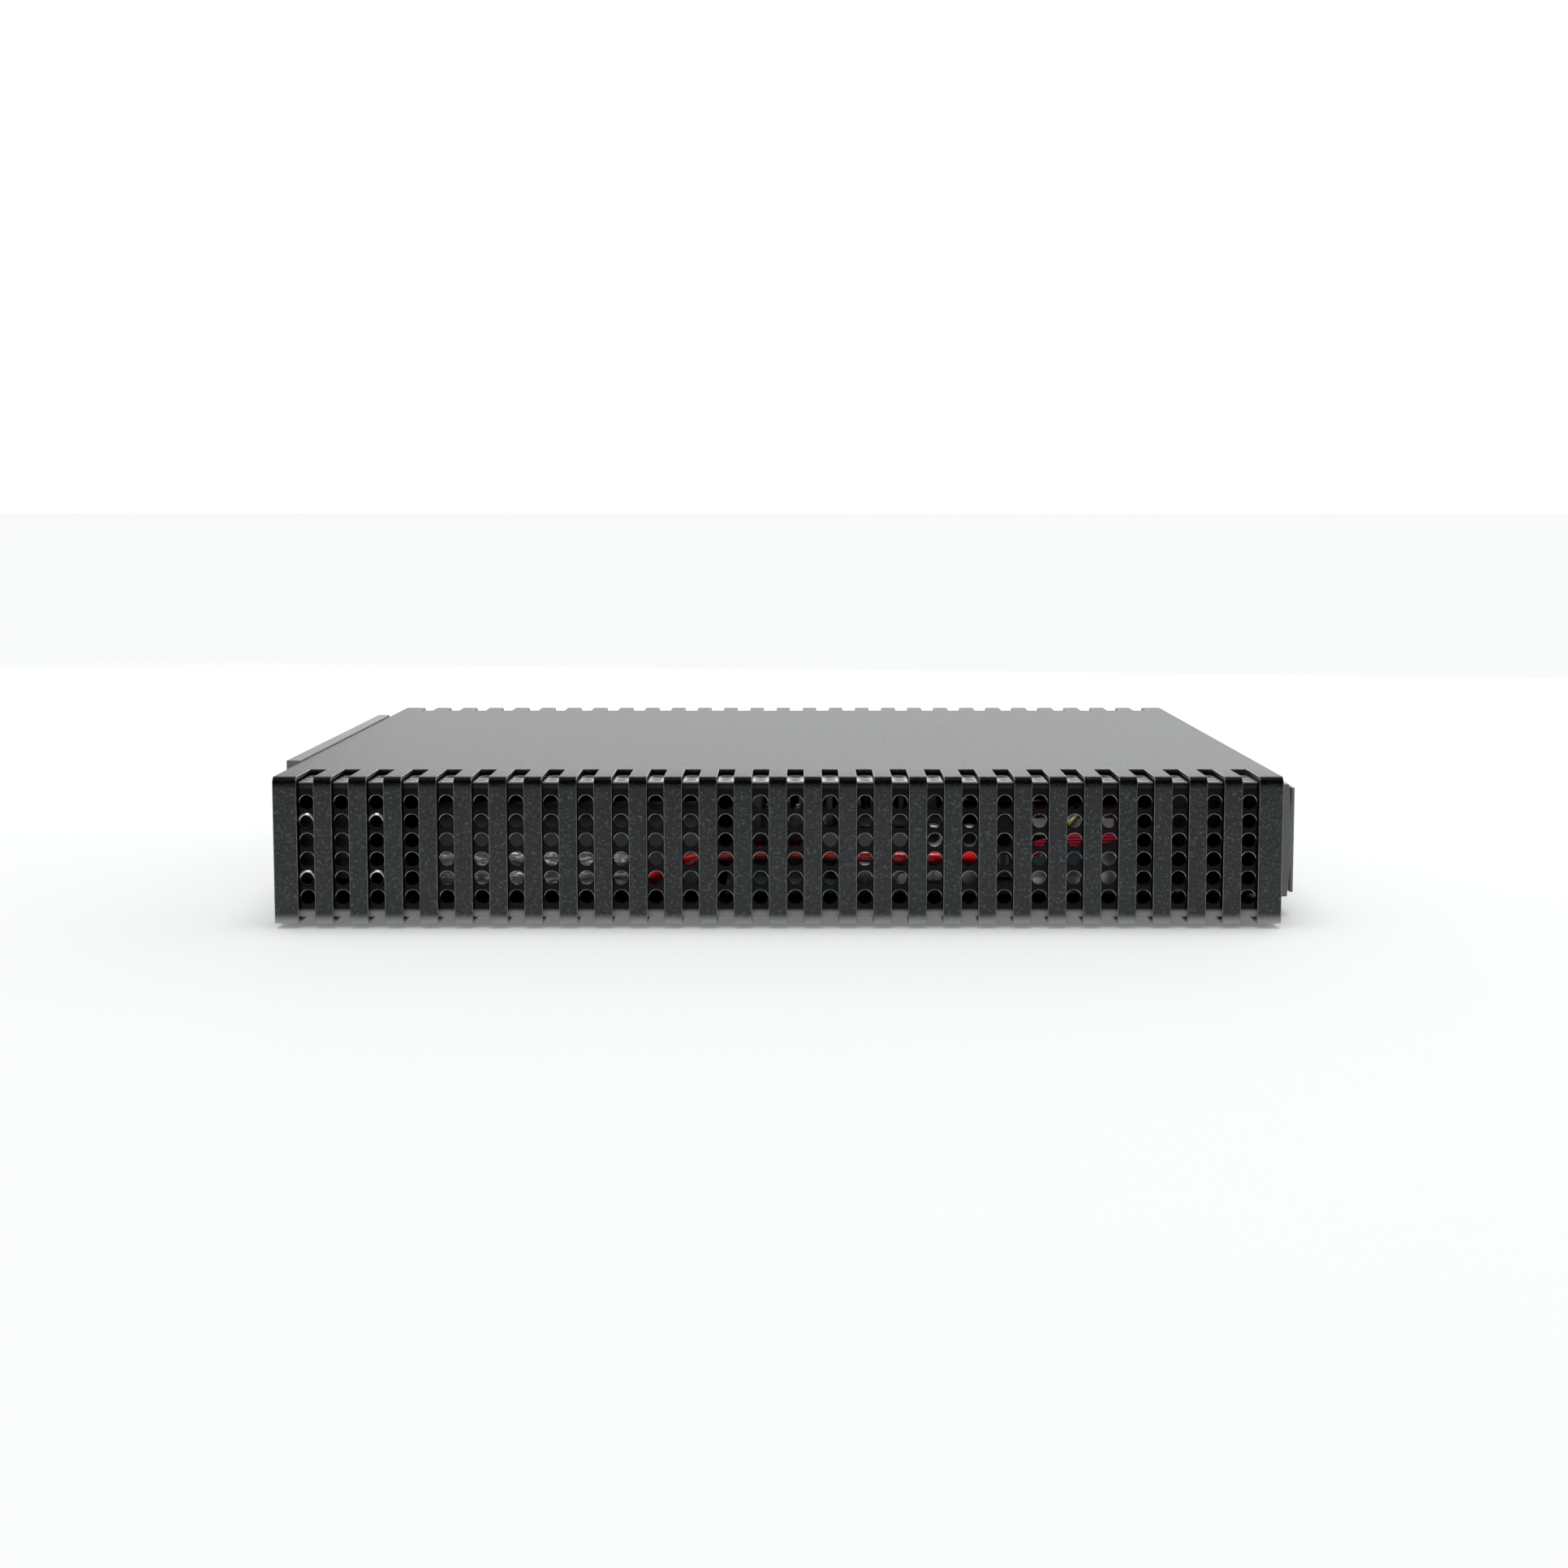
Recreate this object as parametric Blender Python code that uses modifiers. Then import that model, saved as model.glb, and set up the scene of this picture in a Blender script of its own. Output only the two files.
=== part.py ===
"""Firewall appliance: a slotted sheet-metal sleeve over a perforated chassis, with its electronics.

The long slotted side faces -Y. The connector end faces -X and the operator end faces +X.
"""

import math

import bmesh
import bpy
from mathutils import Matrix, Vector

MM = 0.001
GAP = 0.3 * MM                  # clearance between touching pieces

# Outer sleeve: one loop of folded sheet, open at both ends
SLEEVE_LENGTH = 300 * MM
SLEEVE_DEPTH = 270 * MM
SLEEVE_HEIGHT = 44 * MM
SHEET = 1.0 * MM
SLEEVE_BEND = 2.0 * MM
SLOT_COUNT = 28
SLOT_PITCH = 10.4 * MM
SLOT_WIDTH = 5.0 * MM
FRONT_SLOT_REACH = 24 * MM      # how far a slot runs over the top from the front edge
REAR_SLOT_REACH = 17 * MM

# How far the end pieces stand out past the sleeve, and how high the feet hold it
LEFT_PROUD = 4.5 * MM
RIGHT_PROUD = 8.2 * MM
FOOT_HEIGHT = 1.2 * MM
FOOT_RADIUS = 6 * MM
FOOT_INSET = (22 * MM, 34 * MM)

SLEEVE_X = (LEFT_PROUD - RIGHT_PROUD) / 2
SLEEVE_LEFT = SLEEVE_X - SLEEVE_LENGTH / 2
SLEEVE_RIGHT = SLEEVE_X + SLEEVE_LENGTH / 2
SLEEVE_BOTTOM = FOOT_HEIGHT + GAP
SLEEVE_TOP = SLEEVE_BOTTOM + SLEEVE_HEIGHT
MID_Z = (SLEEVE_BOTTOM + SLEEVE_TOP) / 2

# Chassis: perforated front and rear panels, floor, lid and two end walls
CHASSIS_DROP = 1.6 * MM         # chassis lid below the sleeve's outer top
PANEL_SETBACK = 2.7 * MM        # perforated panel behind the sleeve's outer face
PANEL_LENGTH = SLEEVE_LENGTH - 1.6 * MM
FLANGE_DEPTH = 30 * MM
PANEL_BEND = 2.0 * MM
HOLE_ROWS = 6
HOLE_PITCH = 5.7 * MM
HOLE_RADIUS = 2.2 * MM
NUT_HOLE_RADIUS = 2.4 * MM
WALL_INSET = 0.5 * MM           # end wall inside the sleeve's end
CHASSIS_BOTTOM = SLEEVE_BOTTOM + CHASSIS_DROP
CHASSIS_TOP = SLEEVE_TOP - CHASSIS_DROP
PANEL_Y = SLEEVE_DEPTH / 2 - PANEL_SETBACK
FLOOR_TOP = CHASSIS_BOTTOM + SHEET
LID_UNDERSIDE = CHASSIS_TOP - SHEET
WALL_LEFT = SLEEVE_LEFT + WALL_INSET
WALL_RIGHT = SLEEVE_RIGHT - WALL_INSET
WALL_Y = PANEL_Y - SHEET - 2 * GAP

# Connector faceplate on the left end
PLATE_LENGTH = 180 * MM
PLATE_HEIGHT = SLEEVE_HEIGHT + 1.2 * MM
PLATE_BEVEL = 0.7 * MM
PLATE_FACE = SLEEVE_LEFT - LEFT_PROUD

# Operator bezel on the right end: a base layer and a face layer
BEZEL_LENGTH = 222 * MM
BEZEL_BASE_HEIGHT = 34.7 * MM
BEZEL_BASE_PROUD = 6.1 * MM
BEZEL_FACE_HEIGHT = 32.3 * MM
BEZEL_STEP = 1.2 * MM
BEZEL_FACE = SLEEVE_RIGHT + RIGHT_PROUD

# Circuit board and its connectors
BOARD_UNDERSIDE = FLOOR_TOP + 4 * MM
BOARD_THICK = 1.6 * MM
BOARD_TOP = BOARD_UNDERSIDE + BOARD_THICK
BOARD_LEFT = WALL_LEFT + SHEET + 3 * MM
BOARD_RIGHT = WALL_RIGHT - SHEET - 2.5 * MM
BOARD_REAR = 104 * MM
BOARD_STEP_X = -18 * MM         # left of this the board stops behind the power supply
BOARD_STEP_Y = -46 * MM
BOARD_FRONT = -118 * MM
PART_Z = BOARD_TOP + GAP        # underside of whatever stands on the board

JACK_WIDTH = 15.9 * MM
JACK_PITCH = 17.2 * MM
JACK_DEPTH = 25 * MM
JACK_STACK_HEIGHT = 27 * MM
JACK_SINGLE_HEIGHT = 13.5 * MM
JACK_MOUTH = (11.8 * MM, 8.0 * MM)
JACK_MOUTH_DEPTH = 14 * MM
JACK_NOTCH = (6.0 * MM, 1.8 * MM)
JACK_MOUTH_INSET = 3.4 * MM      # mouth in from the top or bottom of a two-high jack
JACK_STACK_FIRST_Y = -36 * MM
JACK_STACKS = 4
RECESS = 0.6 * MM               # connector fronts behind the face around them
CLEARANCE = 0.35 * MM           # each side of a connector in its opening

CAGE_SIZE = (48 * MM, 14.6 * MM, 10.4 * MM)
CAGE_WALL = 0.7 * MM
CAGE_CENTRES = (38 * MM, 55 * MM)

CONSOLE_Y = 58 * MM
CONSOLE_MOUTH_LOW = 3.0 * MM
USB_Y = 30 * MM
USB_SIZE = (19 * MM, 14.5 * MM, 15.6 * MM)
USB_MOUTH = (12.4 * MM, 5.2 * MM)
USB_MOUTH_DEPTH = 10 * MM
USB_MOUTH_INSET = 1.6 * MM
USB_TONGUE_HALF = 5.2 * MM
USB_TONGUE_Z = (2.9 * MM, 4.5 * MM)    # above the bottom of its mouth
POWER_BUTTON_Y = -90 * MM
POWER_BUTTON_RADIUS = 5 * MM
RESET_BUTTON_Y = -72 * MM
RESET_BUTTON_RADIUS = 1.2 * MM
LIGHT_PIPE_Y = -38 * MM
LIGHT_PIPE_SIZE = (9.5 * MM, 42 * MM, 3 * MM)

# Mains inlet and rocker switch
INLET_Y = -111 * MM
INLET_BODY = (22 * MM, 27 * MM, 19.6 * MM)
INLET_FLANGE = (1.5 * MM, 30.6 * MM, 23 * MM)
INLET_MOUTH = (24 * MM, 16.2 * MM)
INLET_MOUTH_DEPTH = 16 * MM
PIN_SIZE = (11 * MM, 2 * MM, 4 * MM)
PIN_SPREAD = 7 * MM
SWITCH_Y = -76 * MM
SWITCH_BODY = (18 * MM, 12.8 * MM, 19 * MM)
SWITCH_FLANGE = (1.2 * MM, 15.2 * MM, 21.4 * MM)
SWITCH_POCKET = 3.2 * MM
ROCKER_SIZE = (5.2 * MM, 9.6 * MM, 15.2 * MM)
ROCKER_TILT = math.radians(7)
ROCKER_ROOM = 0.7 * MM
ROCKER_DIP = 1.1 * MM            # depth of the shallow V of the thumb face
ROCKER_TAPER = 2.2 * MM          # cut from the underside's ends, to clear the well
ROCKER_PIN_BACK = 2.1 * MM       # pin behind the front of the flange
SWITCH_WELL = 7 * MM

# Power supply, in the front left of the chassis
SUPPLY_LOW = Vector((-109, -111, 7.4)) * MM
SUPPLY_HIGH = Vector((-22, -50, 35.5)) * MM

# Fans against the rear panel, each in front of four columns of holes
FAN_SIZE = 36 * MM
FAN_DEPTH = 20 * MM
FAN_BORE = 17.2 * MM
FAN_HUB_RADIUS = 8.5 * MM
FAN_BLADES = 7
FAN_BLADE_TIP = 16.2 * MM
FAN_STEP = 8 * SLOT_PITCH
FAN_STRUT = 2 * MM               # across the bar that carries the hub, both ways
FAN_STRUT_INSET = 1.5 * MM
ROTOR_DEPTH = 13 * MM
ROTOR_FORWARD = 2.6 * MM
BLADE_TWIST = math.radians(40)
BLADE_TIP_SCALE = 0.8
FAN_Y = PANEL_Y - SHEET - 0.8 * MM - FAN_DEPTH / 2

# Parts that stand in the front right of the board
RISER_LOW = Vector((71, -109.6, 0)) * MM
RISER_HIGH = Vector((105, -108, 31.2)) * MM
HEADER_LOW = Vector((73.5, -116, 25.6)) * MM
HEADER_HIGH = Vector((100.5, -109.9, 30.8)) * MM
TERMINAL_LOW = Vector((57, -100, 0)) * MM
TERMINAL_HIGH = Vector((71, -89, 20)) * MM

# Parts on the rest of the board: (name, low corner, high corner, finish), z above the board's parts level
HEATSINK_LOW = (-12 * MM, -8 * MM)
HEATSINK_HIGH = (52 * MM, 52 * MM)
HEATSINK_HEIGHT = 26 * MM
HEATSINK_BASE = 4 * MM
HEATSINK_FINS = 13
FIN_GAP = 3.2 * MM
BOARD_PARTS = (
    ("memory_socket", (56.5, 70, 0), (127.5, 76, 5), "dark_plastic"),
    ("memory_module", (58.2, 39.7, 2.6), (125.8, 69.7, 3.8), "solder_mask"),
    ("m2_drive", (-88, 60, 1.2), (-8, 82, 3.4), "solder_mask"))
STANDOFF_RADIUS = 2.9 * MM
STANDOFF_INSET = 8 * MM

# Routes of the leads that the chassis holds all the way, in millimetres
DC_LEAD_RADIUS = 1.9 * MM
DC_LEAD_ROUTE = (
    (-41, -111.4, 12.8), (-40.9, -116, 12.9), (-38.4, -121.4, 14.2), (-33, -124.2, 17.2),
    (-27, -124.8, 19.6), (-18, -124.8, 21.2), (-6, -124.4, 21.6), (8, -124.2, 21.4),
    (20, -124.4, 20.8), (34, -124.4, 20.1), (48, -123.4, 19.8), (57, -119.4, 19.2),
    (62.4, -112, 17.6), (64, -100.4, 15.6))
RIBBON_HEIGHT = 4.6 * MM
RIBBON_THICK = 0.8 * MM
RIBBON_ROUTE = (
    (74.5, -110.2, 17.6), (73.4, -114, 17.9), (75, -118.8, 19.4), (80.5, -121.1, 21.1),
    (88, -121.5, 22.4), (98, -121, 24.2), (103.5, -118.2, 25), (107, -111.5, 25.4),
    (108.5, -101, 25.4), (110.5, -90, 25.2), (114, -78, 24.6), (118, -66, 23.4))
WIRE_RADIUS = 0.75 * MM
WIRE_COLUMNS = (76, 97)         # where the two wires leave the top of the header
WIRE_TOP_ROUTE = (
    (0, -113, 31.1), (0.3, -112.5, 32.2), (1.1, -110.8, 33), (2.2, -107.2, 33.2), (3.4, -101, 32.6),
    (4.2, -95, 29.6), (4.7, -90.4, 24), (4.6, -88, 18), (4.4, -87.4, 12.6))
WIRE_FRONT_ROUTE = (
    (84.4, -116.3, 27.4), (84.8, -119, 27.9), (86.2, -120, 30), (88.2, -119.2, 32), (89.7, -116.4, 33.2),
    (90.4, -112, 33.8), (90.8, -106, 33.9), (91, -99, 32.4), (91.2, -92.6, 27), (91.2, -89, 19.6),
    (91.2, -88, 12.6))

# Fasteners
SCREW_SHANK_RADIUS = 1.5 * MM
SCREW_HOLE_RADIUS = 1.8 * MM
SCREW_HEAD_RADIUS = 2.9 * MM
SCREW_HEAD_THICK = 0.8 * MM
SCREW_INSET = (60 * MM, 40 * MM)
NUT_FLANGE_RADIUS = 2.65 * MM
NUT_BARREL_RADIUS = 2.1 * MM
NUT_BORE_RADIUS = 1.75 * MM
NUT_COLUMNS = (0, 2)
NUT_ROWS = (1, 4)

# Finish: base colour, roughness, metallic
FINISHES = {
    "powder_black": ((0.035, 0.037, 0.038), 0.45, 0.0),
    "chassis_black": ((0.02, 0.021, 0.022), 0.35, 0.0),
    "grey_plastic": ((0.13, 0.14, 0.14), 0.5, 0.0),
    "dark_plastic": ((0.015, 0.015, 0.016), 0.5, 0.0),
    "black_rubber": ((0.012, 0.012, 0.012), 0.85, 0.0),
    "bright_steel": ((0.6, 0.6, 0.58), 0.25, 1.0),
    "satin_zinc": ((0.42, 0.43, 0.43), 0.4, 1.0),
    "anodised": ((0.5, 0.5, 0.52), 0.4, 1.0),
    "solder_mask": ((0.012, 0.016, 0.022), 0.4, 0.0),
    "white_nylon": ((0.75, 0.73, 0.68), 0.5, 0.0),
    "red_sheath": ((0.45, 0.02, 0.02), 0.25, 0.0),
    "crimson_ribbon": ((0.3, 0.01, 0.03), 0.4, 0.0),
    "yellow_sheath": ((0.6, 0.45, 0.03), 0.35, 0.0),
    "clear_acrylic": ((0.7, 0.75, 0.8), 0.15, 0.0),
}


def new_collection(name):
    collection = bpy.data.collections.new(name)
    bpy.context.scene.collection.children.link(collection)
    return collection


def clear_scene():
    for obj in list(bpy.data.objects):
        bpy.data.objects.remove(obj)


clear_scene()
PARTS = new_collection("firewall_appliance")
CUTTERS = new_collection("cutters")


def finish_material(name, finish):
    colour, roughness, metallic = FINISHES[finish]
    material = bpy.data.materials.new(name + "_" + finish)
    material.use_nodes = True
    shader = material.node_tree.nodes["Principled BSDF"]
    shader.inputs["Base Color"].default_value = (*colour, 1)
    shader.inputs["Roughness"].default_value = roughness
    shader.inputs["Metallic"].default_value = metallic
    return material


def add_object(name, bm, location=(0, 0, 0), finish=None, smooth=True):
    """Make a part, or a cutter where no finish is given, from a bmesh built around its own origin."""
    mesh = bpy.data.meshes.new(name)
    bm.to_mesh(mesh)
    bm.free()
    if smooth:
        mesh.shade_smooth()
        mesh.set_sharp_from_angle(angle=math.radians(35))
    obj = bpy.data.objects.new(name, mesh)
    obj.location = location
    if finish is None:
        CUTTERS.objects.link(obj)
        obj.hide_render = True
        obj.display_type = 'WIRE'
    else:
        PARTS.objects.link(obj)
        mesh.materials.append(finish_material(name, finish))
    return obj


def place(centre, size=(1, 1, 1), turn=None):
    matrix = Matrix.Translation(centre)
    if turn is not None:
        matrix = matrix @ turn
    return matrix @ Matrix.Diagonal((*size, 1))


def bm_box(bm, low, high):
    low = Vector(low)
    high = Vector(high)
    return bmesh.ops.create_cube(bm, size=1, matrix=place((low + high) / 2, high - low))["verts"]


def bm_rod(bm, centre, radius, length, axis, sides):
    turns = {"X": Matrix.Rotation(math.pi / 2, 4, 'Y'), "Y": Matrix.Rotation(math.pi / 2, 4, 'X'),
             "Z": Matrix.Identity(4)}
    return bmesh.ops.create_cone(
        bm, cap_ends=True, segments=sides, radius1=radius, radius2=radius, depth=length,
        matrix=place(centre, turn=turns[axis]))["verts"]


def add_box(name, low, high, finish, bevel=0):
    """A block between two corners, with its origin at its centre."""
    low = Vector(low)
    high = Vector(high)
    half = (high - low) / 2
    bm = bmesh.new()
    bm_box(bm, -half, half)
    obj = add_object(name, bm, (low + high) / 2, finish, smooth=False)
    if bevel:
        add_bevel(obj, bevel)
    return obj


def add_bevel(obj, width, segments=1):
    modifier = obj.modifiers.new("edges", 'BEVEL')
    modifier.width = width
    modifier.segments = segments
    modifier.limit_method = 'ANGLE'
    modifier.angle_limit = math.radians(40)


def combine(obj, other, operation):
    modifier = obj.modifiers.new(other.name, 'BOOLEAN')
    modifier.operation = operation
    modifier.solver = 'EXACT'
    modifier.object = other


def cutter_of_boxes(name, boxes):
    bm = bmesh.new()
    for low, high in boxes:
        bm_box(bm, low, high)
    return add_object(name, bm, smooth=False)


def cutter_of_rods(name, centres, radius, length, axis, sides):
    bm = bmesh.new()
    for centre in centres:
        bm_rod(bm, centre, radius, length, axis, sides)
    return add_object(name, bm, smooth=False)


def folded_sheet(name, low, high, open_sides, bend, finish):
    """Sheet folded round a box: the sides named by their outward direction are left open."""
    low = Vector(low)
    high = Vector(high)
    half = (high - low) / 2
    bm = bmesh.new()
    bm_box(bm, -half, half)
    bm.normal_update()
    removed = [f for f in bm.faces if any(f.normal.dot(Vector(side)) > 0.9 for side in open_sides)]
    bmesh.ops.delete(bm, geom=removed, context='FACES')
    folds = [e for e in bm.edges if not e.is_boundary]
    bmesh.ops.bevel(bm, geom=folds, offset=bend, segments=2, profile=0.5, affect='EDGES',
                    clamp_overlap=True)
    obj = add_object(name, bm, (low + high) / 2, finish)
    sheet = obj.modifiers.new("sheet", 'SOLIDIFY')
    sheet.thickness = SHEET
    sheet.offset = -1
    sheet.use_even_offset = True
    return obj


def column_x(index):
    return SLEEVE_X + (index - (SLOT_COUNT - 1) / 2) * SLOT_PITCH


def row_z(index):
    return MID_Z + ((HOLE_ROWS - 1) / 2 - index) * HOLE_PITCH


def corner_places(inset_x, inset_y):
    for side_x in (-1, 1):
        for side_y in (-1, 1):
            yield (SLEEVE_X + side_x * (SLEEVE_LENGTH / 2 - inset_x),
                   side_y * (SLEEVE_DEPTH / 2 - inset_y))


def screw_holes():
    height = SLEEVE_BOTTOM + 2 * MM
    centres = [(x, y, height) for x, y in corner_places(*SCREW_INSET)]
    return cutter_of_rods("screw_holes", centres, SCREW_HOLE_RADIUS, 8 * MM, "Z", 12)


def make_sleeve(screw_cutter):
    sleeve = folded_sheet(
        "outer_sleeve",
        (SLEEVE_LEFT, -SLEEVE_DEPTH / 2, SLEEVE_BOTTOM), (SLEEVE_RIGHT, SLEEVE_DEPTH / 2, SLEEVE_TOP),
        ((-1, 0, 0), (1, 0, 0)), SLEEVE_BEND, "powder_black")
    slots = []
    past = 2 * MM
    for index in range(SLOT_COUNT):
        left = column_x(index) - SLOT_WIDTH / 2
        right = column_x(index) + SLOT_WIDTH / 2
        front = -SLEEVE_DEPTH / 2
        rear = SLEEVE_DEPTH / 2
        slots.append(((left, front - past, SLEEVE_BOTTOM - past),
                      (right, front + FRONT_SLOT_REACH, SLEEVE_TOP + past)))
        slots.append(((left, rear - REAR_SLOT_REACH, SLEEVE_BOTTOM - past),
                      (right, rear + past, SLEEVE_TOP + past)))
    combine(sleeve, cutter_of_boxes("sleeve_slots", slots), 'DIFFERENCE')
    combine(sleeve, screw_cutter, 'DIFFERENCE')


def is_nut_place(column, row):
    return column in NUT_COLUMNS and row in NUT_ROWS


def make_front_panel():
    panel = folded_sheet(
        "front_vent_panel",
        (SLEEVE_X - PANEL_LENGTH / 2, -PANEL_Y, CHASSIS_BOTTOM),
        (SLEEVE_X + PANEL_LENGTH / 2, -PANEL_Y + FLANGE_DEPTH, CHASSIS_TOP),
        ((-1, 0, 0), (1, 0, 0), (0, 1, 0)), PANEL_BEND, "chassis_black")
    centres = [(column_x(c), -PANEL_Y, row_z(r))
               for c in range(SLOT_COUNT) for r in range(HOLE_ROWS) if not is_nut_place(c, r)]
    combine(panel, cutter_of_rods("front_holes", centres, HOLE_RADIUS, 4 * MM, "Y", 6), 'DIFFERENCE')
    nut_centres = [(column_x(c), -PANEL_Y, row_z(r)) for c in NUT_COLUMNS for r in NUT_ROWS]
    combine(panel, cutter_of_rods("nut_holes", nut_centres, NUT_HOLE_RADIUS, 4 * MM, "Y", 12),
            'DIFFERENCE')


def make_rear_panel():
    panel = folded_sheet(
        "rear_vent_panel",
        (SLEEVE_X - PANEL_LENGTH / 2, PANEL_Y - FLANGE_DEPTH, CHASSIS_BOTTOM),
        (SLEEVE_X + PANEL_LENGTH / 2, PANEL_Y, CHASSIS_TOP),
        ((-1, 0, 0), (1, 0, 0), (0, -1, 0)), PANEL_BEND, "chassis_black")
    centres = []
    for fan_x in fan_places():
        for column in (-1.5, -0.5, 0.5, 1.5):
            for row in range(HOLE_ROWS):
                centres.append((fan_x + column * SLOT_PITCH, PANEL_Y, row_z(row)))
    combine(panel, cutter_of_rods("rear_holes", centres, HOLE_RADIUS, 4 * MM, "Y", 6), 'DIFFERENCE')


def make_floor_and_lid(screw_cutter):
    half = PANEL_LENGTH / 2
    reach = PANEL_Y - FLANGE_DEPTH - GAP
    floor = add_box("chassis_floor", (SLEEVE_X - half, -reach, CHASSIS_BOTTOM),
                    (SLEEVE_X + half, reach, FLOOR_TOP), "chassis_black")
    combine(floor, screw_cutter, 'DIFFERENCE')
    add_box("chassis_lid", (SLEEVE_X - half, -reach, LID_UNDERSIDE),
            (SLEEVE_X + half, reach, CHASSIS_TOP), "chassis_black")


def make_end_wall(name, outer_x, inward):
    low_x, high_x = sorted((outer_x, outer_x + inward * SHEET))
    return add_box(name, (low_x, -WALL_Y, FLOOR_TOP + GAP), (high_x, WALL_Y, LID_UNDERSIDE - GAP),
                   "chassis_black")


def opening(x_range, centre_y, size_y, low_z, high_z):
    """Box cut through an end, a little larger than the connector that passes through it."""
    half = size_y / 2 + CLEARANCE
    return ((x_range[0], centre_y - half, low_z - CLEARANCE),
            (x_range[1], centre_y + half, high_z + CLEARANCE))


def stack_y(index):
    return JACK_STACK_FIRST_Y + index * JACK_PITCH


def connector_openings():
    reach = (PLATE_FACE - 2 * MM, WALL_LEFT + 3 * MM)
    boxes = [opening(reach, stack_y(i), JACK_WIDTH, PART_Z, PART_Z + JACK_STACK_HEIGHT)
             for i in range(JACK_STACKS)]
    boxes += [opening(reach, y, CAGE_SIZE[1], PART_Z, PART_Z + CAGE_SIZE[2]) for y in CAGE_CENTRES]
    boxes.append(opening(reach, SWITCH_Y, SWITCH_BODY[1],
                         MID_Z - SWITCH_BODY[2] / 2, MID_Z + SWITCH_BODY[2] / 2))
    return cutter_of_boxes("connector_openings", boxes)


def make_connector_end():
    openings = connector_openings()
    wall = make_end_wall("left_end_wall", WALL_LEFT, 1)
    combine(wall, openings, 'DIFFERENCE')
    inlet_hole = opening((WALL_LEFT - 2 * MM, WALL_LEFT + 3 * MM), INLET_Y, INLET_BODY[1],
                         MID_Z - INLET_BODY[2] / 2, MID_Z + INLET_BODY[2] / 2)
    combine(wall, cutter_of_boxes("inlet_opening", [inlet_hole]), 'DIFFERENCE')

    plate = add_box(
        "io_faceplate", (PLATE_FACE, -PLATE_LENGTH / 2, MID_Z - PLATE_HEIGHT / 2),
        (SLEEVE_LEFT - GAP, PLATE_LENGTH / 2, MID_Z + PLATE_HEIGHT / 2), "grey_plastic", PLATE_BEVEL)
    combine(plate, openings, 'DIFFERENCE')
    pocket = opening((PLATE_FACE - 2 * MM, PLATE_FACE + SWITCH_POCKET), SWITCH_Y, SWITCH_FLANGE[1],
                     MID_Z - SWITCH_FLANGE[2] / 2, MID_Z + SWITCH_FLANGE[2] / 2)
    combine(plate, cutter_of_boxes("switch_pocket", [pocket]), 'DIFFERENCE')


def jack_cutters(name, front_x, inward, centre_y, mouths):
    """Two cutters for RJ45 mouths; each mouth is (low z of the cavity, side its latch notch is on)."""
    inner_x = front_x + inward * JACK_MOUTH_DEPTH
    notch_x = front_x + inward * (JACK_MOUTH_DEPTH - 3 * MM)
    outer_x = front_x - inward * 2 * MM
    half_mouth = JACK_MOUTH[0] / 2
    half_notch = JACK_NOTCH[0] / 2
    cavities = []
    notches = []
    for low_z, side in mouths:
        high_z = low_z + JACK_MOUTH[1]
        notch_edge = high_z if side > 0 else low_z
        notch_z = sorted((notch_edge - side * 1 * MM, notch_edge + side * JACK_NOTCH[1]))
        x_low, x_high = sorted((outer_x, inner_x))
        n_low, n_high = sorted((outer_x, notch_x))
        cavities.append(((x_low, centre_y - half_mouth, low_z), (x_high, centre_y + half_mouth, high_z)))
        notches.append(((n_low, centre_y - half_notch, notch_z[0]),
                        (n_high, centre_y + half_notch, notch_z[1])))
    return (cutter_of_boxes(name + "_mouths", cavities), cutter_of_boxes(name + "_notches", notches))


def make_jack_stacks():
    front_x = PLATE_FACE + RECESS
    mouths = ((PART_Z + JACK_MOUTH_INSET, -1),
              (PART_Z + JACK_STACK_HEIGHT - JACK_MOUTH_INSET - JACK_MOUTH[1], 1))
    for index in range(JACK_STACKS):
        name = f"rj45_stack_{index + 1}"
        centre_y = stack_y(index)
        jack = add_box(name, (front_x, centre_y - JACK_WIDTH / 2, PART_Z),
                       (front_x + JACK_DEPTH, centre_y + JACK_WIDTH / 2, PART_Z + JACK_STACK_HEIGHT),
                       "satin_zinc")
        for cutter in jack_cutters(name, front_x, 1, centre_y, mouths):
            combine(jack, cutter, 'DIFFERENCE')


def make_cages():
    front_x = PLATE_FACE + RECESS
    for index, centre_y in enumerate(CAGE_CENTRES):
        name = f"sfp_cage_{index + 1}"
        length, width, height = CAGE_SIZE
        cage = add_box(name, (front_x, centre_y - width / 2, PART_Z),
                       (front_x + length, centre_y + width / 2, PART_Z + height), "satin_zinc")
        cavity = ((front_x - 2 * MM, centre_y - width / 2 + CAGE_WALL, PART_Z + CAGE_WALL),
                  (front_x + length - 6 * MM, centre_y + width / 2 - CAGE_WALL,
                   PART_Z + height - CAGE_WALL))
        combine(cage, cutter_of_boxes(name + "_cavity", [cavity]), 'DIFFERENCE')


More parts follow.
